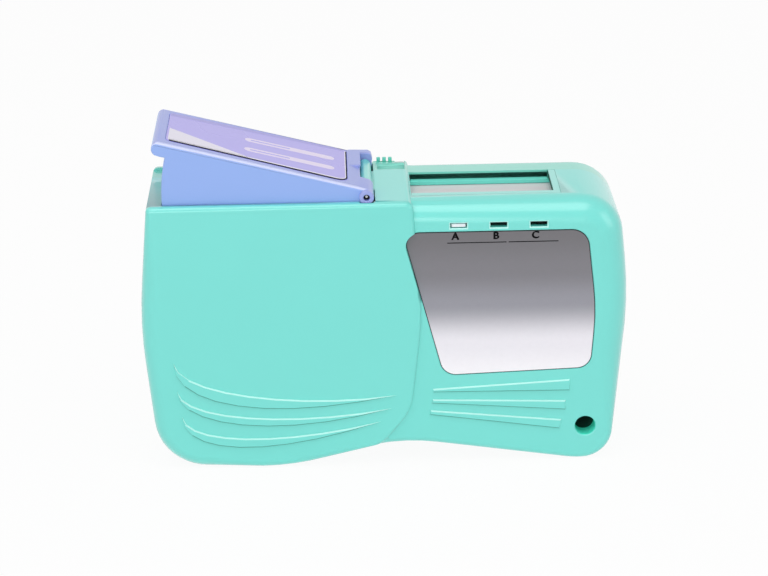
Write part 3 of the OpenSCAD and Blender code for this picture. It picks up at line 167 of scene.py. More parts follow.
def surface_group():
    """Moulded surface: a cloudy shift of colour and gloss over a fine grain."""
    group = bpy.data.node_groups.new("moulded_surface", "ShaderNodeTree")
    for name, way, kind in (
        ("Colour", "INPUT", "Color"), ("Cloud", "INPUT", "Float"), ("Cloud Scale", "INPUT", "Float"),
        ("Grain Scale", "INPUT", "Float"), ("Gloss", "INPUT", "Float"), ("Gloss Shift", "INPUT", "Float"),
        ("Colour", "OUTPUT", "Color"), ("Roughness", "OUTPUT", "Float"), ("Height", "OUTPUT", "Float"),
    ):
        group.interface.new_socket(name, in_out=way, socket_type="NodeSocket" + kind)
    nodes, links = group.nodes, group.links
    given = nodes.new("NodeGroupInput")
    result = nodes.new("NodeGroupOutput")
    where = nodes.new("ShaderNodeTexCoord")
    cloud = nodes.new("ShaderNodeTexNoise")
    cloud.inputs["Detail"].default_value = 3
    grain = nodes.new("ShaderNodeTexNoise")
    grain.inputs["Detail"].default_value = 2
    links.new(where.outputs["Object"], cloud.inputs["Vector"])
    links.new(where.outputs["Object"], grain.inputs["Vector"])
    links.new(given.outputs["Cloud Scale"], cloud.inputs["Scale"])
    links.new(given.outputs["Grain Scale"], grain.inputs["Scale"])
    swing = calculated(group, "SUBTRACT", cloud.outputs["Fac"], 0.5)
    tint = calculated(group, "MULTIPLY_ADD", swing, given.outputs["Cloud"], 1)
    shade = nodes.new("ShaderNodeHueSaturation")
    links.new(given.outputs["Colour"], shade.inputs["Color"])
    links.new(tint, shade.inputs["Value"])
    rough = calculated(group, "MULTIPLY_ADD", swing, given.outputs["Gloss Shift"], given.outputs["Gloss"])
    links.new(shade.outputs["Color"], result.inputs["Colour"])
    links.new(rough, result.inputs["Roughness"])
    links.new(grain.outputs["Fac"], result.inputs["Height"])
    return group


moulded_surface = surface_group()


def surface(
    name, colour, gloss=0.3, cloud=0.03, cloud_scale=40, grain=2500, depth=0.003,
    metal=0.0, coat=0.0, mirror=0.5,
):
    """A finish made from the moulded surface. depth is the grain's height in millimetres."""
    material = bpy.data.materials.new(name)
    material.use_nodes = True
    tree = material.node_tree
    shader = tree.nodes["Principled BSDF"]
    shader.inputs["Metallic"].default_value = metal
    shader.inputs["Specular IOR Level"].default_value = mirror
    shader.inputs["Coat Weight"].default_value = coat
    shader.inputs["Coat Roughness"].default_value = 0.18
    moulded = tree.nodes.new("ShaderNodeGroup")
    moulded.name = "surface"
    moulded.node_tree = moulded_surface
    moulded.inputs["Colour"].default_value = rgb(colour)
    moulded.inputs["Cloud"].default_value = cloud
    moulded.inputs["Cloud Scale"].default_value = cloud_scale
    moulded.inputs["Grain Scale"].default_value = grain
    moulded.inputs["Gloss"].default_value = gloss
    moulded.inputs["Gloss Shift"].default_value = 0.1
    bump = tree.nodes.new("ShaderNodeBump")
    bump.inputs["Strength"].default_value = 1
    bump.inputs["Distance"].default_value = depth * MM
    tree.links.new(moulded.outputs["Colour"], shader.inputs["Base Color"])
    tree.links.new(moulded.outputs["Roughness"], shader.inputs["Roughness"])
    tree.links.new(moulded.outputs["Height"], bump.inputs["Height"])
    tree.links.new(bump.outputs["Normal"], shader.inputs["Normal"])
    return material


def turns_by(edge, degrees):
    """Whether the two faces at an edge turn by more than so many degrees."""
    return len(edge.link_faces) == 2 and edge.calc_face_angle(0) > math.radians(degrees)


def joined(node):
    """Triangles of a CAD piece joined into clean faces, slivers that fold back on them too."""
    shape = bmesh.new()
    shape.from_mesh(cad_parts[node].data)
    bmesh.ops.remove_doubles(shape, verts=shape.verts, dist=0.002 * MM)
    bmesh.ops.dissolve_limit(shape, angle_limit=math.radians(0.5), verts=shape.verts, edges=shape.edges)
    folded = [edge for edge in shape.edges if turns_by(edge, 175)]
    bmesh.ops.dissolve_edges(shape, edges=folded, use_verts=False, use_face_split=False)
    return shape


def soften(shape, width, low=(-99, -99, -99), high=(99, 99, 99), segments=2, angle=60):
    """Round the sharp edges that lie inside a box, in millimetres. The new faces come back."""
    def inside(vert):
        return all(low[k] - 0.01 < vert.co[k] / MM < high[k] + 0.01 for k in range(3))
    edges = [
        edge for edge in shape.edges
        if edge.is_convex and turns_by(edge, angle) and all(inside(vert) for vert in edge.verts)
    ]
    return bmesh.ops.bevel(
        shape, geom=edges, offset=width * MM, offset_type="OFFSET", segments=segments, profile=0.5,
        affect="EDGES", clamp_overlap=False, material=-1,
    )["faces"]


def paint(faces, finish):
    """Give faces the finish at this place in their piece's list."""
    for face in faces:
        face.material_index = finish


def piece_from(shape, name, finishes, body, *nodes, slot, sharp=32):
    """A finished piece: shaded smooth between its sharp edges, riding on its body."""
    mesh = bpy.data.meshes.new(name)
    shape.to_mesh(mesh)
    shape.free()
    mesh.shade_smooth()
    mesh.set_sharp_from_angle(angle=math.radians(sharp))
    for material in finishes:
        mesh.materials.append(material)
    made = bpy.data.objects.new(name, mesh)
    bpy.context.collection.objects.link(made)
    flat_first = made.modifiers.new("flat_first", "WEIGHTED_NORMAL")
    flat_first.keep_sharp = True
    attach(made, body)
    if nodes:
        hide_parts(*nodes)
    return made


# The strap hole goes through both shells: its middle, and a reach just beyond its rounded mouth.
strap_x, strap_z = 49.0, 9.1
strap_reach = 2.75


def off_strap(place):
    """How far a place in millimetres lies from the middle line of the strap hole."""
    return math.hypot(place.x - strap_x, place.z - strap_z)


def paint_bore_shade(shape, start, finish):
    """Painted shade: give the strap hole's wall behind start millimetres the dark shade finish of its
    piece's list.
    """
    def in_bore(vert):
        return off_strap(vert.co / MM) < strap_reach
    walls = [face for face in shape.faces if all(in_bore(vert) for vert in face.verts)]
    edges = {edge for face in walls for edge in face.edges}
    verts = {vert for face in walls for vert in face.verts}
    bmesh.ops.bisect_plane(
        shape, geom=[*walls, *edges, *verts], plane_co=(0, start * MM, 0), plane_no=(0, 1, 0),
    )
    paint([
        face for face in shape.faces
        if all(in_bore(vert) and vert.co.y / MM > start - 0.01 for vert in face.verts)
    ], finish)


def progress(value, start, end):
    """How far a value is on its way from start to end, from 0 to 1."""
    return min(1, max(0, (value - start) / (end - start)))


case_green = surface("case_green", "#73e0d6", gloss=0.34, depth=0.006, coat=0.9)
# Copies of the case green that carry painted light and shade: a pale highlight, a deep shade, a shade and a
# lit green.
case_green_highlight = surface("case_green_highlight", "#baf6ee", cloud=0.02)
case_green_deep_shade = surface("case_green_deep_shade", "#1d5548", gloss=0.6, cloud=0.06, depth=0.006, mirror=0.2)
case_green_shade = surface("case_green_shade", "#4a9f93", gloss=0.4)
case_green_lit = surface("case_green_lit", "#5cfae2", gloss=0.4)
front_finishes = [case_green, case_green_highlight, case_green_deep_shade, case_green_shade, case_green_lit]
# Places of the other finishes in that list.
HIGHLIGHT, DEEP_SHADE, SHADE, LIT = 1, 2, 3, 4

# Where the front face lies, in millimetres: its left lobe, its right half, the ribs on both, and
# the box round the edges of the three type windows. Then the rounds on these edges.
lobe_y = -15.6
right_y = -14.6
rib_rise = 0.4
lobe_rib_y = lobe_y - rib_rise
right_rib_y = right_y - rib_rise
lobe_ribs_top = 40
right_ribs_top = 24
ribs_part_x = 8
windows_low = (14, right_y - 0.1, 61)
windows_high = (41, -12, 63.5)
windows_round = 0.27
rib_round = 0.3
strap_round = 0.4
front_bore_shade_from = -10.5

front = joined("front_case")
# Painted highlight on the rounded edges of the three type windows.
paint(soften(front, windows_round, windows_low, windows_high, angle=80), HIGHLIGHT)
for rib_y, left_x, top_z in ((lobe_rib_y, -99, lobe_ribs_top), (right_rib_y, ribs_part_x, right_ribs_top)):
    soften(front, rib_round, (left_x, rib_y - 0.1, 0), (99, rib_y + 0.1, top_z), angle=50)
soften(
    front, strap_round, (strap_x - strap_reach, right_y - 0.1, strap_z - strap_reach),
    (strap_x + strap_reach, right_y + 0.1, strap_z + strap_reach), segments=3, angle=50,
)

# The foot of the step is drawn out to a ramp, which fades away towards the top and the base.
step_left, step_right = -4, 9
step_base, step_top = 1, 64
ramp_reach = 2.2
ramp_top = (44, 32)
ramp_base = (10, 15)


def on_step_foot(vert):
    """Whether a corner lies where the step comes down on the right half of the front."""
    x, y, z = vert.co / MM
    return abs(y - right_y) < 0.02 and step_left < x < step_right and step_base < z < step_top


step_foot = {
    vert for edge in front.edges
    if turns_by(edge, 20) and not edge.is_convex and all(on_step_foot(end) for end in edge.verts)
    for vert in edge.verts
}
for vert in step_foot:
    outward = sum((face.normal for face in vert.link_faces if abs(face.normal.y) < 0.95), Vector())
    outward.y = 0
    fade = progress(vert.co.z / MM, *ramp_top) * progress(vert.co.z / MM, *ramp_base)
    vert.co += outward.normalized() * ramp_reach * MM * fade
front.normal_update()

# Painted highlight on the ribs' upper faces and painted shade on their lower faces, and painted light on the
# mouth of the strap hole.
for face in front.faces:
    spot = face.calc_center_median() / MM
    on_lobe_rib = lobe_rib_y + 0.01 < spot.y < lobe_y - 0.01 and spot.z < lobe_ribs_top
    on_right_rib = right_rib_y + 0.01 < spot.y < right_y - 0.01 and spot.z < right_ribs_top
    on_rib = on_lobe_rib if spot.x < ribs_part_x else on_right_rib
    if on_rib and abs(face.normal.z) > 0.3:
        face.material_index = HIGHLIGHT if face.normal.z > 0 else SHADE
    elif off_strap(spot) < strap_reach and spot.y > right_y + 0.3:
        face.material_index = LIT
# Painted shade on the strap hole's wall deeper in than its mouth.
paint_bore_shade(front, front_bore_shade_from, DEEP_SHADE)
piece_from(front, "front_shell", front_finishes, "case", "front_case", slot="case_green", sharp=35)

# Rear cover: the same green moulding, with the pocket of the latch. It meets the front shell along
# the window's back edge and lifts off to the back.
cover_green = surface("cover_green", "#7adcca", gloss=0.34, depth=0.006, coat=0.9)
cover_finishes = [cover_green, case_green_deep_shade]
cover_bore_shade_from = 8.6
rear = joined("rear_cover")
# Painted shade on the strap hole's wall inside the cover.
paint_bore_shade(rear, cover_bore_shade_from, 1)
piece_from(rear, "rear_shell", cover_finishes, "cover", "rear_cover", slot="case_green", sharp=35)


# Latch that holds the cover: a small slider of deeper green plastic with three ribs for the thumb.
# It lies in the cover's pocket and slides two millimetres to the right.
def plain_piece(node, name, material, body, slot, rounded=0, **how):
    """A CAD piece in one finish. rounded is the round on its sharp edges, in millimetres."""
    shape = joined(node)
    if rounded:
        soften(shape, rounded, **how)
    return piece_from(shape, name, [material], body, node, slot=slot)


latch_green = surface("latch_green", "#6ad7c2", gloss=0.4, depth=0.006)
plain_piece("cover_latch", "latch", latch_green, "latch", "latch_green", rounded=0.12, angle=50)


# Nameplate: thin aluminium sheet glued into the recess, its silver running from dark grey at the top to
# nearly white at the foot, with a fine dark border and the three type marks.
def fade_down(material, stops, low, high):
    """Colour of a surface from its height: stops are shares of the way up with their colours."""
    tree = material.node_tree
    where = tree.nodes.new("ShaderNodeTexCoord")
    apart = tree.nodes.new("ShaderNodeSeparateXYZ")
    share = tree.nodes.new("ShaderNodeMapRange")
    share.inputs["From Min"].default_value = low * MM
    share.inputs["From Max"].default_value = high * MM
    ramp = tree.nodes.new("ShaderNodeValToRGB")
    ramp.color_ramp.interpolation = "EASE"
    while len(ramp.color_ramp.elements) < len(stops):
        ramp.color_ramp.elements.new(0.5)
    for element, (place, colour) in zip(ramp.color_ramp.elements, stops):
        element.position = place
        element.color = rgb(colour)
    tree.links.new(where.outputs["Object"], apart.inputs[0])
    tree.links.new(apart.outputs["Z"], share.inputs["Value"])
    tree.links.new(share.outputs["Result"], ramp.inputs["Fac"])
    tree.links.new(ramp.outputs["Color"], tree.nodes["surface"].inputs["Colour"])


plate_silver = surface(
    "plate_silver", "#b9b9bf", gloss=0.34, cloud=0.05, cloud_scale=900, grain=9000, metal=0.15,
)
silver_stops = [
    (0.0, "#faf6fb"), (0.22, "#eeeaf1"), (0.5, "#97969f"), (0.72, "#7f7d83"), (1.0, "#716f73"),
]
plate_foot_z = 23.5
plate_top_z = 60.8
fade_down(plate_silver, silver_stops, plate_foot_z, plate_top_z)
ink_and_painted_shade = surface("ink_and_painted_shade", "#08080b", gloss=0.8, cloud=0.1, depth=0.002, mirror=0.1)
border_width = 0.14
plate = joined("nameplate")
plate_face = max(plate.faces, key=lambda face: -face.normal.y * face.calc_area())
border = bmesh.ops.inset_region(
    plate, faces=[plate_face], thickness=border_width * MM, use_even_offset=True,
)["faces"]
paint(border, 1)
piece_from(plate, "nameplate_sheet", [plate_silver, ink_and_painted_shade], "case", "nameplate", slot="plate_silver")

# The turn that stands a flat shape up, so that it faces the front.
upright = Matrix.Rotation(math.radians(90), 3, "X")


def lettering(text, size, thick, bold):
    """Letters as a mesh that stands up and faces the front. bold widens their strokes."""
    curve = bpy.data.curves.new("lettering", "FONT")
    curve.body = text
    curve.size = size * MM
    curve.extrude = thick * MM / 2
    curve.offset = bold * MM
    curve.align_x = "CENTER"
    holder = bpy.data.objects.new("lettering", curve)
    bpy.context.collection.objects.link(holder)
    mesh = bpy.data.meshes.new_from_object(holder)
    bpy.data.objects.remove(holder)
    shape = bmesh.new()
    shape.from_mesh(mesh)
    bpy.data.meshes.remove(mesh)
    bmesh.ops.remove_doubles(shape, verts=shape.verts, dist=0.001 * MM)
    bmesh.ops.rotate(shape, verts=shape.verts, cent=(0, 0, 0), matrix=upright)
    return shape


def join_in(whole, part, shift=(0, 0, 0)):
    """Join one mesh into another at a place given in millimetres."""
    bmesh.ops.translate(part, verts=part.verts, vec=Vector(shift) * MM)
    mesh = bpy.data.meshes.new("part")
    part.to_mesh(mesh)
    part.free()
    whole.from_mesh(mesh)
    bpy.data.meshes.remove(mesh)


# Each letter is three copies side by side, of slightly different thickness, for a heavy stroke.
letter_size = 2.5
letter_z = 58.75
letter_bold = 0.045
print_thick = 0.02
rule_width = 0.23
rule_z = 57.9
plate_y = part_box("nameplate")[0][1] / MM
marks = bmesh.new()
for text, x in (("A", 17.1), ("B", 26.8), ("C", 36.2)):
    for aside, lift in ((-0.08, -0.05), (0, 0), (0.08, 0.05)):
        letter = lettering(text, letter_size, print_thick + aside / 20, letter_bold)
        join_in(marks, letter, (x + aside, plate_y, letter_z + lift))
for x0, x1 in ((15.2, 29.3), (29.8, 41.7)):
    rule = bmesh.new()
    bmesh.ops.create_cube(rule, size=MM)
    bmesh.ops.scale(rule, verts=rule.verts, vec=(x1 - x0, print_thick, rule_width))
    join_in(marks, rule, ((x0 + x1) / 2, plate_y, rule_z))
piece_from(marks, "type_marks", [ink_and_painted_shade], "case", slot="plate_silver")

# Type marker: a white plastic tab that shows in the first of the three windows and stands on a
# ledge inside the shell. Its front end is drawn in a little from the window's sides.
white_plastic = surface("white_plastic", "#edf2f7", gloss=0.35, depth=0.004)
front_end = 1.9
front_shares = (0.86, 1, 0.76)
tab = joined("type_tab")
tab_low = Vector(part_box("type_tab")[0])
shown = [vert for vert in tab.verts if vert.co.y < tab_low.y + front_end * MM]
shown_middle = sum((vert.co for vert in shown), Vector()) / len(shown)
bmesh.ops.scale(tab, verts=shown, vec=front_shares, space=Matrix.Translation(-shown_middle))
soften(tab, 0.15, angle=50)
piece_from(tab, "type_tab_piece", [white_plastic], "case", "type_tab", slot="white_plastic")

# Trim on the front and the right of the cleaning window: a green moulding pressed into the shell's top. Its
# short wall at the window's right end gets a painted deep shade.
trim_green = surface("trim_green", "#86e2d8", gloss=0.34, depth=0.006, coat=0.9)
window_end_x = 41
trim = joined("window_bezel")
soften(trim, 0.12, angle=50)
# Painted shade on the short inner wall at the window's right end.
paint([
    face for face in trim.faces
    if face.normal.x < -0.3 and abs(face.calc_center_median().x / MM - window_end_x) < 0.8
], 1)
piece_from(trim, "window_trim", [trim_green, case_green_deep_shade], "case", "window_bezel", slot="trim_green")

# Slotted guide under the window: a green moulding with two wiping slots and the shutter's rails.
# It lies in the shell's top, below the trim.
guide_green = surface("guide_green", "#78ecdb", gloss=0.42, depth=0.006)
plain_piece("slot_guide", "slot_guide_piece", guide_green, "case", "guide_green", rounded=0.1, angle=50)

# Sliding shutter over the slots: pale grey acetal, moulded in one with the rack along its front
# edge. It runs in the guide's rails, and the drive gear pulls it aside.
shutter_grey = surface("shutter_grey", "#e6dde0", depth=0.004)
plain_piece("shutter", "shutter_plate", shutter_grey, "shutter", "shutter_grey")

# Thumb lever: a periwinkle-blue moulding, open below, with a rounded lip, two hinge knuckles and
# the toothed leg that drives the gears. It stands up at its rest angle.
lever_blue = surface("lever_blue", "#93b1f0", gloss=0.33, depth=0.005, coat=0.3)
# A lighter lavender copy of the blue gives painted light on the lever's top and hinge end, and a pale one a
# painted glint along its front top edge.
lever_lit_lavender = surface("lever_lit_lavender", "#9ca8e7", gloss=0.33, depth=0.005, coat=0.3)
lever_glint = surface("lever_glint", "#cfd6fc", cloud=0.02)
lever_finishes = [lever_blue, lever_lit_lavender, lever_glint]
LIT_LAVENDER, GLINT = 1, 2
hinge_x, hinge_z = -3.8025, 69.6
knuckle_reach = 2.6
hinge_end_x = -7.5
lever_top_z = 70
lip_round = 0.3
lever = joined("lever")
soften(lever, lip_round, low=(-99, -99, 68), segments=3, angle=50)
lever.normal_update()
# Painted light on the top faces and the hinge end, and a painted glint on the rounded front top edge.
for face in lever.faces:
    spot = face.calc_center_median() / MM
    facing = face.normal
    on_knuckle = math.hypot(spot.x - hinge_x, spot.z - hinge_z) < knuckle_reach
    at_hinge = spot.x > hinge_end_x and spot.z > 66 and (spot.y > -12 or on_knuckle)
    on_top = facing.z > 0.75 and spot.z > lever_top_z
    at_front_top = spot.x < hinge_end_x and spot.y < -10 and spot.z > lever_top_z
    if at_front_top and facing.y < -0.35 and facing.z > 0.35:
        face.material_index = GLINT
    elif on_top or at_hinge:
        face.material_index = LIT_LAVENDER
piece_from(lever, "thumb_lever", lever_finishes, "lever", "lever", slot="lever_blue")

# Label let into the lever's top: lavender film with a thin dark line and a white one along its
# front and right edges, a violet band at the back, a white corner patch and two pale strips. It is
# drawn in the lever's own frame, from the hinge pin along the top, and then turned up with the lever.
rest_angle = math.radians(14.5)
hinge = Vector((hinge_x, 0, hinge_z)) * MM
lever_turn = Matrix.Translation(hinge) @ Matrix.Rotation(rest_angle, 4, "Y")
label_lavender = surface("label_lavender", "#b3aaf2", gloss=0.28, cloud=0.04, depth=0.002, coat=0.2)
label_white = surface("label_white", "#f6f3fd", depth=0.002)
label_rose = surface("label_rose", "#eadff8", depth=0.002)
label_ink = surface("label_ink", "#04051a", gloss=0.7, cloud=0.05, depth=0.002, mirror=0.1)
label_pale = surface("label_pale", "#e9e5f3", cloud=0.06, depth=0.002)
label_violet = surface("label_violet", "#a5a0e2", depth=0.002)
plain_piece("lever_label", "label_film", label_lavender, "lever", "label_lavender")

# Sizes of the prints in millimetres: u runs from the hinge pin to the lever's free end, y to the
# back. The two lines are given by how far their inner edges lie inside the label's corner and front.
film_thick = 0.03
print_level = 2.0 - film_thick / 2
core_level = print_level + 0.005
corner_u, corner_y = 7.97, -8.71
corner_radius = 2.87
arc_steps = 12
dark_line_in = (0.3, 0.88)
white_line_in = (0.52, 1.45)
band_outline = [(48.8, 10.3), (48.8, 8.3), (5.4, 10.5), (5.4, 11.3)]
patch_outline = [(48.5, -9.5), (48.5, -1.0), (28.5, -9.9)]
strip_rows = (3.1, -3.95)
strip_ends = (9.5, 29.0)
strip_radius = 1.3
core_ends = (19.5, 28.5)
core_radius = 0.4


def flat_print(points, level=print_level):
    """A print on the label, from its flat outline."""
    shape = bmesh.new()
    face = shape.faces.new([shape.verts.new(Vector((-u, y, level)) * MM) for u, y in points])
    bmesh.ops.recalc_face_normals(shape, faces=[face])
    raised = bmesh.ops.extrude_face_region(shape, geom=[face])["geom"]
    top = [vert for vert in raised if isinstance(vert, bmesh.types.BMVert)]
    bmesh.ops.translate(shape, verts=top, vec=(0, 0, film_thick * MM))
    bmesh.ops.recalc_face_normals(shape, faces=shape.faces)
    return shape


def strip_outline(ends, y, radius):
    """Outline of a strip with round ends."""
    turns = [
        (u, math.radians(start + 180 * k / arc_steps))
        for u, start in ((ends[1], -90), (ends[0], 90)) for k in range(arc_steps + 1)
    ]
    return [(u + radius * math.cos(t), y + radius * math.sin(t)) for u, t in turns]


def label_edge(across, deep):
    """Line along the label's front and right edges, as far inside them as the two sizes say."""
    turns = [math.radians(90 - 90 * k / arc_steps) for k in range(arc_steps + 1)]
    corner = [
        (corner_u - (corner_radius - across) * math.cos(t), corner_y - (corner_radius - deep) * math.sin(t))
        for t in turns
    ]
    left_end = [(48.2, -10.45 + deep), (47.63, -10.58 + deep)]
    return left_end + corner + [(corner_u - corner_radius + across, 10.5)]


def label_piece(shape, name, finishes):
    """A print that is turned up with the lever and rides on it."""
    bmesh.ops.transform(shape, matrix=lever_turn, verts=shape.verts)
    piece_from(shape, name, finishes, "lever", slot="label_lavender")


outer_edge, middle_edge, inner_edge = label_edge(0, 0), label_edge(*dark_line_in), label_edge(*white_line_in)
outlines = [outer_edge + middle_edge[::-1], middle_edge + inner_edge[::-1], band_outline]
lines = bmesh.new()
for finish, outline in enumerate(outlines):
    line = flat_print(outline)
    paint(line.faces, finish)
    join_in(lines, line)
label_piece(lines, "label_lines", [label_ink, label_white, label_violet])
label_piece(flat_print(patch_outline), "label_patch", [label_pale])
strips = bmesh.new()
for y in strip_rows:
    join_in(strips, flat_print(strip_outline(strip_ends, y, strip_radius)))
    core = flat_print(strip_outline(core_ends, y, core_radius), core_level)
    paint(core.faces, 1)
    join_in(strips, core)
label_piece(strips, "label_strips", [label_rose, label_lavender])

# Hinge pin: a turned steel rod held in the case's lug, its end sunk a little in the front knuckle. A painted
# shade in the dark ink finish lies in a ring round its end.
steel = surface(
    "steel", "#b9bdc2", gloss=0.28, cloud=0.06, cloud_scale=300, grain=4000, depth=0.002, metal=1.0,
)
pin_radius = 0.7
pin_sunk = 0.5
pin_round = 0.18
shade_ring_width = 0.22
pin_low, pin_high = (Vector(corner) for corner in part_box("lever_pin"))
pin_length = pin_high.y - pin_low.y - pin_sunk * MM
pin_middle = (pin_low + pin_high) / 2 + Vector((0, pin_sunk * MM / 2, 0))
pin_rod = bmesh.new()
bmesh.ops.create_cone(
    pin_rod, cap_ends=True, segments=32, radius1=pin_radius * MM, radius2=pin_radius * MM, depth=pin_length,
)
bmesh.ops.rotate(pin_rod, verts=pin_rod.verts, cent=(0, 0, 0), matrix=upright)
bmesh.ops.translate(pin_rod, verts=pin_rod.verts, vec=pin_middle)
soften(pin_rod, pin_round, segments=3)
pin_rod.normal_update()
cap = max(pin_rod.faces, key=lambda face: -face.normal.y * face.calc_area())
bmesh.ops.inset_region(pin_rod, faces=[cap], thickness=shade_ring_width * MM, use_even_offset=True)
# Painted shade: the ring and the rounded rim of the pin's end take the dark ink finish.
paint([
    face for face in pin_rod.faces
    if face is not cap and face.normal.y < 0.5
    and min(vert.co.y for vert in face.verts) < pin_low.y + 1.5 * MM
], 1)
piece_from(pin_rod, "hinge_pin", [steel, ink_and_painted_shade], "case", "lever_pin", slot="steel")

# Return spring of the lever: seven turns of round spring wire that stand on the chassis shelf. It
# shortens as the lever comes down.
spring_steel = surface(
    "spring_steel", "#9da3a9", gloss=0.25, cloud=0.08, cloud_scale=300, grain=4000, depth=0.002, metal=1.0,
)
wire = 0.38 * MM
coil_radius = 2.8 * MM
coil_turns = 7
turn_steps = 36
wire_sides = 12
spring_low, spring_high = (Vector(corner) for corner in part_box("lever_spring"))
spring_axis = (spring_low + spring_high) / 2
climb = (spring_high.z - spring_low.z - 2 * wire) / (turn_steps * coil_turns)
spring = bmesh.new()
bmesh.ops.create_circle(spring, cap_ends=False, segments=wire_sides, radius=wire)
bmesh.ops.rotate(spring, verts=spring.verts, cent=(0, 0, 0), matrix=upright)
bmesh.ops.translate(spring, verts=spring.verts, vec=(coil_radius, 0, wire))
bmesh.ops.spin(
    spring, geom=spring.verts[:] + spring.edges[:], cent=(0, 0, 0), axis=(0, 0, 1), dvec=(0, 0, climb),
    angle=math.radians(360 * coil_turns), steps=turn_steps * coil_turns, use_duplicate=False,
)
wire_ends = [edge for edge in spring.edges if edge.is_boundary]
bmesh.ops.holes_fill(spring, edges=wire_ends, sides=wire_sides)
bmesh.ops.translate(spring, verts=spring.verts, vec=(spring_axis.x, spring_axis.y, spring_low.z))
bmesh.ops.recalc_face_normals(spring, faces=spring.faces)
spring_piece = piece_from(
    spring, "return_spring", [spring_steel], "case", "lever_spring", slot="spring_steel", sharp=60,
)
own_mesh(spring_piece)

# Chassis plate: zinc-plated sheet steel that carries the wheels and the reels, screwed to five
# posts of the front shell.
chassis_steel = surface(
    "chassis_steel", "#b6babd", gloss=0.42, cloud=0.10, cloud_scale=120, grain=3000, depth=0.004, metal=0.9,
)
plain_piece("chassis_plate", "chassis", chassis_steel, "case", "chassis_steel")
plain_piece("chassis_screws", "screws", steel, "case", "steel", rounded=0.12)

# Gears of the drive: white acetal, moulded to module 0.5. The small pinion and the large wheel of
# the drive gear are one moulding, and so are the take-up wheel and the post of its pawl.
gear_white = surface("gear_white", "#ecebe4")
for node, name, body in (
    ("drive_gear", "pinion_and_wheel", "drive_gear"),
    ("idler_gear", "idler_wheel", "idler"),
    ("takeup_wheel", "takeup_gear", "takeup_drive"),
):
    plain_piece(node, name, gear_white, body, "white_plastic")

# Fixed axles of turned steel for the drive gear and the idler, pressed into the front shell. The
# gears run free on them.
for node in ("drive_gear_axle", "idler_axle"):
    plain_piece(node, node + "_rod", steel, "case", "steel", rounded=0.15)

# Ratchet: a steel wheel of saw teeth on the take-up shaft, pushed on by one spring leaf on the
# take-up wheel and held by another on the case.
plain_piece("ratchet_wheel", "ratchet", steel, "takeup", "steel")
plain_piece("drive_pawl", "drive_leaf", spring_steel, "takeup_drive", "spring_steel")
plain_piece("check_pawl", "check_leaf", spring_steel, "case", "spring_steel")

# Take-up shaft of turned steel, in a white bush that is pressed into the chassis. It carries the
# ratchet wheel and the take-up reel.
plain_piece("takeup_shaft", "takeup_spindle", steel, "takeup", "steel", rounded=0.15)
plain_piece("shaft_bush", "spindle_bush", white_plastic, "case", "white_plastic", rounded=0.1)

# Reels: grey polystyrene with six round windows in each flange. The supply reel turns on a fixed
# hollow axle with a collar.
reel_grey = surface("reel_grey", "#c6c9cc", gloss=0.35, cloud=0.04, depth=0.004)
plain_piece("takeup_reel", "takeup_spool", reel_grey, "takeup", "reel_grey", rounded=0.2)
plain_piece("supply_reel", "supply_spool", reel_grey, "supply", "reel_grey", rounded=0.2)
plain_piece("supply_axle", "supply_post", steel, "case", "steel", rounded=0.2)


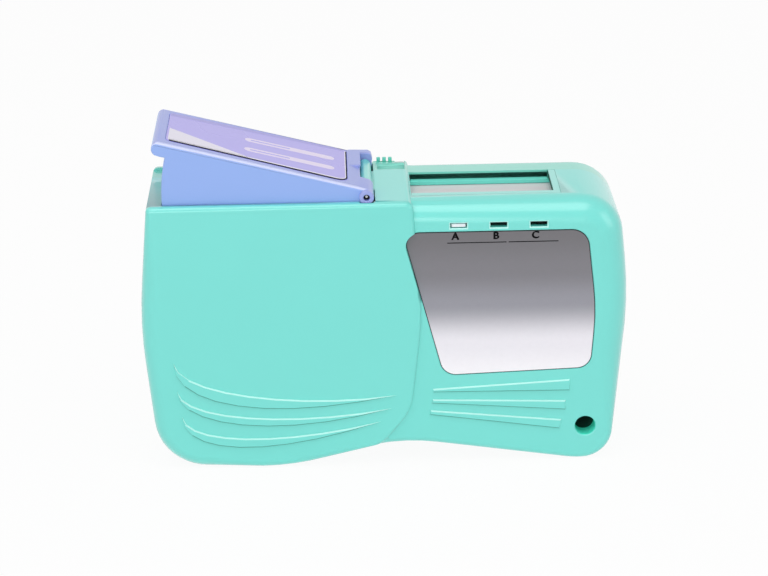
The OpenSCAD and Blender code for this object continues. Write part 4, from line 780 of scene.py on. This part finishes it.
# Windings: layer upon layer of white microfibre tape. The edges of the layers show as fine rings
# round each reel's centre, and the tape's face shows its weave.
def wound(name, node):
    """White tape with rings round the middle of one winding."""
    low, high = (Vector(corner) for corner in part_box(node))
    middle = (low + high) / 2
    layer_pitch = 0.35 * MM
    material = surface(name, "#f3f3ef", gloss=0.8, cloud=0.05, grain=5000, depth=0.02)
    tree = material.node_tree
    where = tree.nodes.new("ShaderNodeTexCoord")
    centre = tree.nodes.new("ShaderNodeMapping")
    centre.inputs["Location"].default_value = (-middle.x, 0, -middle.z)
    flat = tree.nodes.new("ShaderNodeVectorMath")
    flat.operation = "MULTIPLY"
    flat.inputs[1].default_value = (1, 0, 1)
    reach = tree.nodes.new("ShaderNodeVectorMath")
    reach.operation = "LENGTH"
    tree.links.new(where.outputs["Object"], centre.inputs["Vector"])
    tree.links.new(centre.outputs["Vector"], flat.inputs[0])
    tree.links.new(flat.outputs["Vector"], reach.inputs[0])
    layers = calculated(tree, "MULTIPLY", reach.outputs["Value"], 2 * math.pi / layer_pitch)
    level = tree.nodes.new("ShaderNodeMapRange")
    level.inputs["From Min"].default_value = -1
    level.inputs["To Min"].default_value = 0.86
    tree.links.new(calculated(tree, "SINE", layers), level.inputs["Value"])
    tint = tree.nodes.new("ShaderNodeMixRGB")
    tint.blend_type = "MULTIPLY"
    tint.inputs["Fac"].default_value = 1
    tree.links.new(tree.nodes["surface"].outputs["Colour"], tint.inputs[1])
    tree.links.new(level.outputs["Result"], tint.inputs[2])
    tree.links.new(tint.outputs["Color"], tree.nodes["Principled BSDF"].inputs["Base Color"])
    return material


for node, name, body in (
    ("takeup_winding", "takeup_roll", "takeup"),
    ("supply_winding", "supply_roll", "supply"),
):
    plain_piece(node, name, wound(name + "_tape", node), body, "tape_white", rounded=0.15)

# Brake: one leaf of spring steel with a domed button at its end, screwed to the chassis behind the
# supply reel's flange.
plain_piece("supply_brake", "reel_brake", spring_steel, "case", "spring_steel")

# Guide rollers: white acetal tubes that turn on two steel axles riveted to the chassis. They lead
# the tape up to the pad and down again.
for side in ("left", "right"):
    plain_piece(
        "guide_roller_" + side, side + "_roller", white_plastic, "roller_" + side, "white_plastic",
        rounded=0.15,
    )
plain_piece("roller_axles", "roller_rods", steel, "case", "steel", rounded=0.1)

# Platen under the slots: a dark rubber pad in a grey holder, which presses the tape up to the
# connector that is wiped.
plain_piece("platen_holder", "pad_holder", reel_grey, "case", "reel_grey", rounded=0.2)
pad_rubber = surface("pad_rubber", "#3c3f43", gloss=0.7, cloud=0.08, grain=3500, depth=0.02)
plain_piece("platen_pad", "rubber_pad", pad_rubber, "case", "pad_rubber", rounded=0.3, segments=3)

# Cleaning tape: a densely woven white microfibre ribbon, stretched from the supply reel over both
# rollers and the pad to the take-up reel.
tape_white = surface("tape_white", "#f5f5f2", gloss=0.85, cloud=0.05, grain=4500, depth=0.03)
ribbon = plain_piece("cleaning_tape", "tape", tape_white, "case", "tape_white")
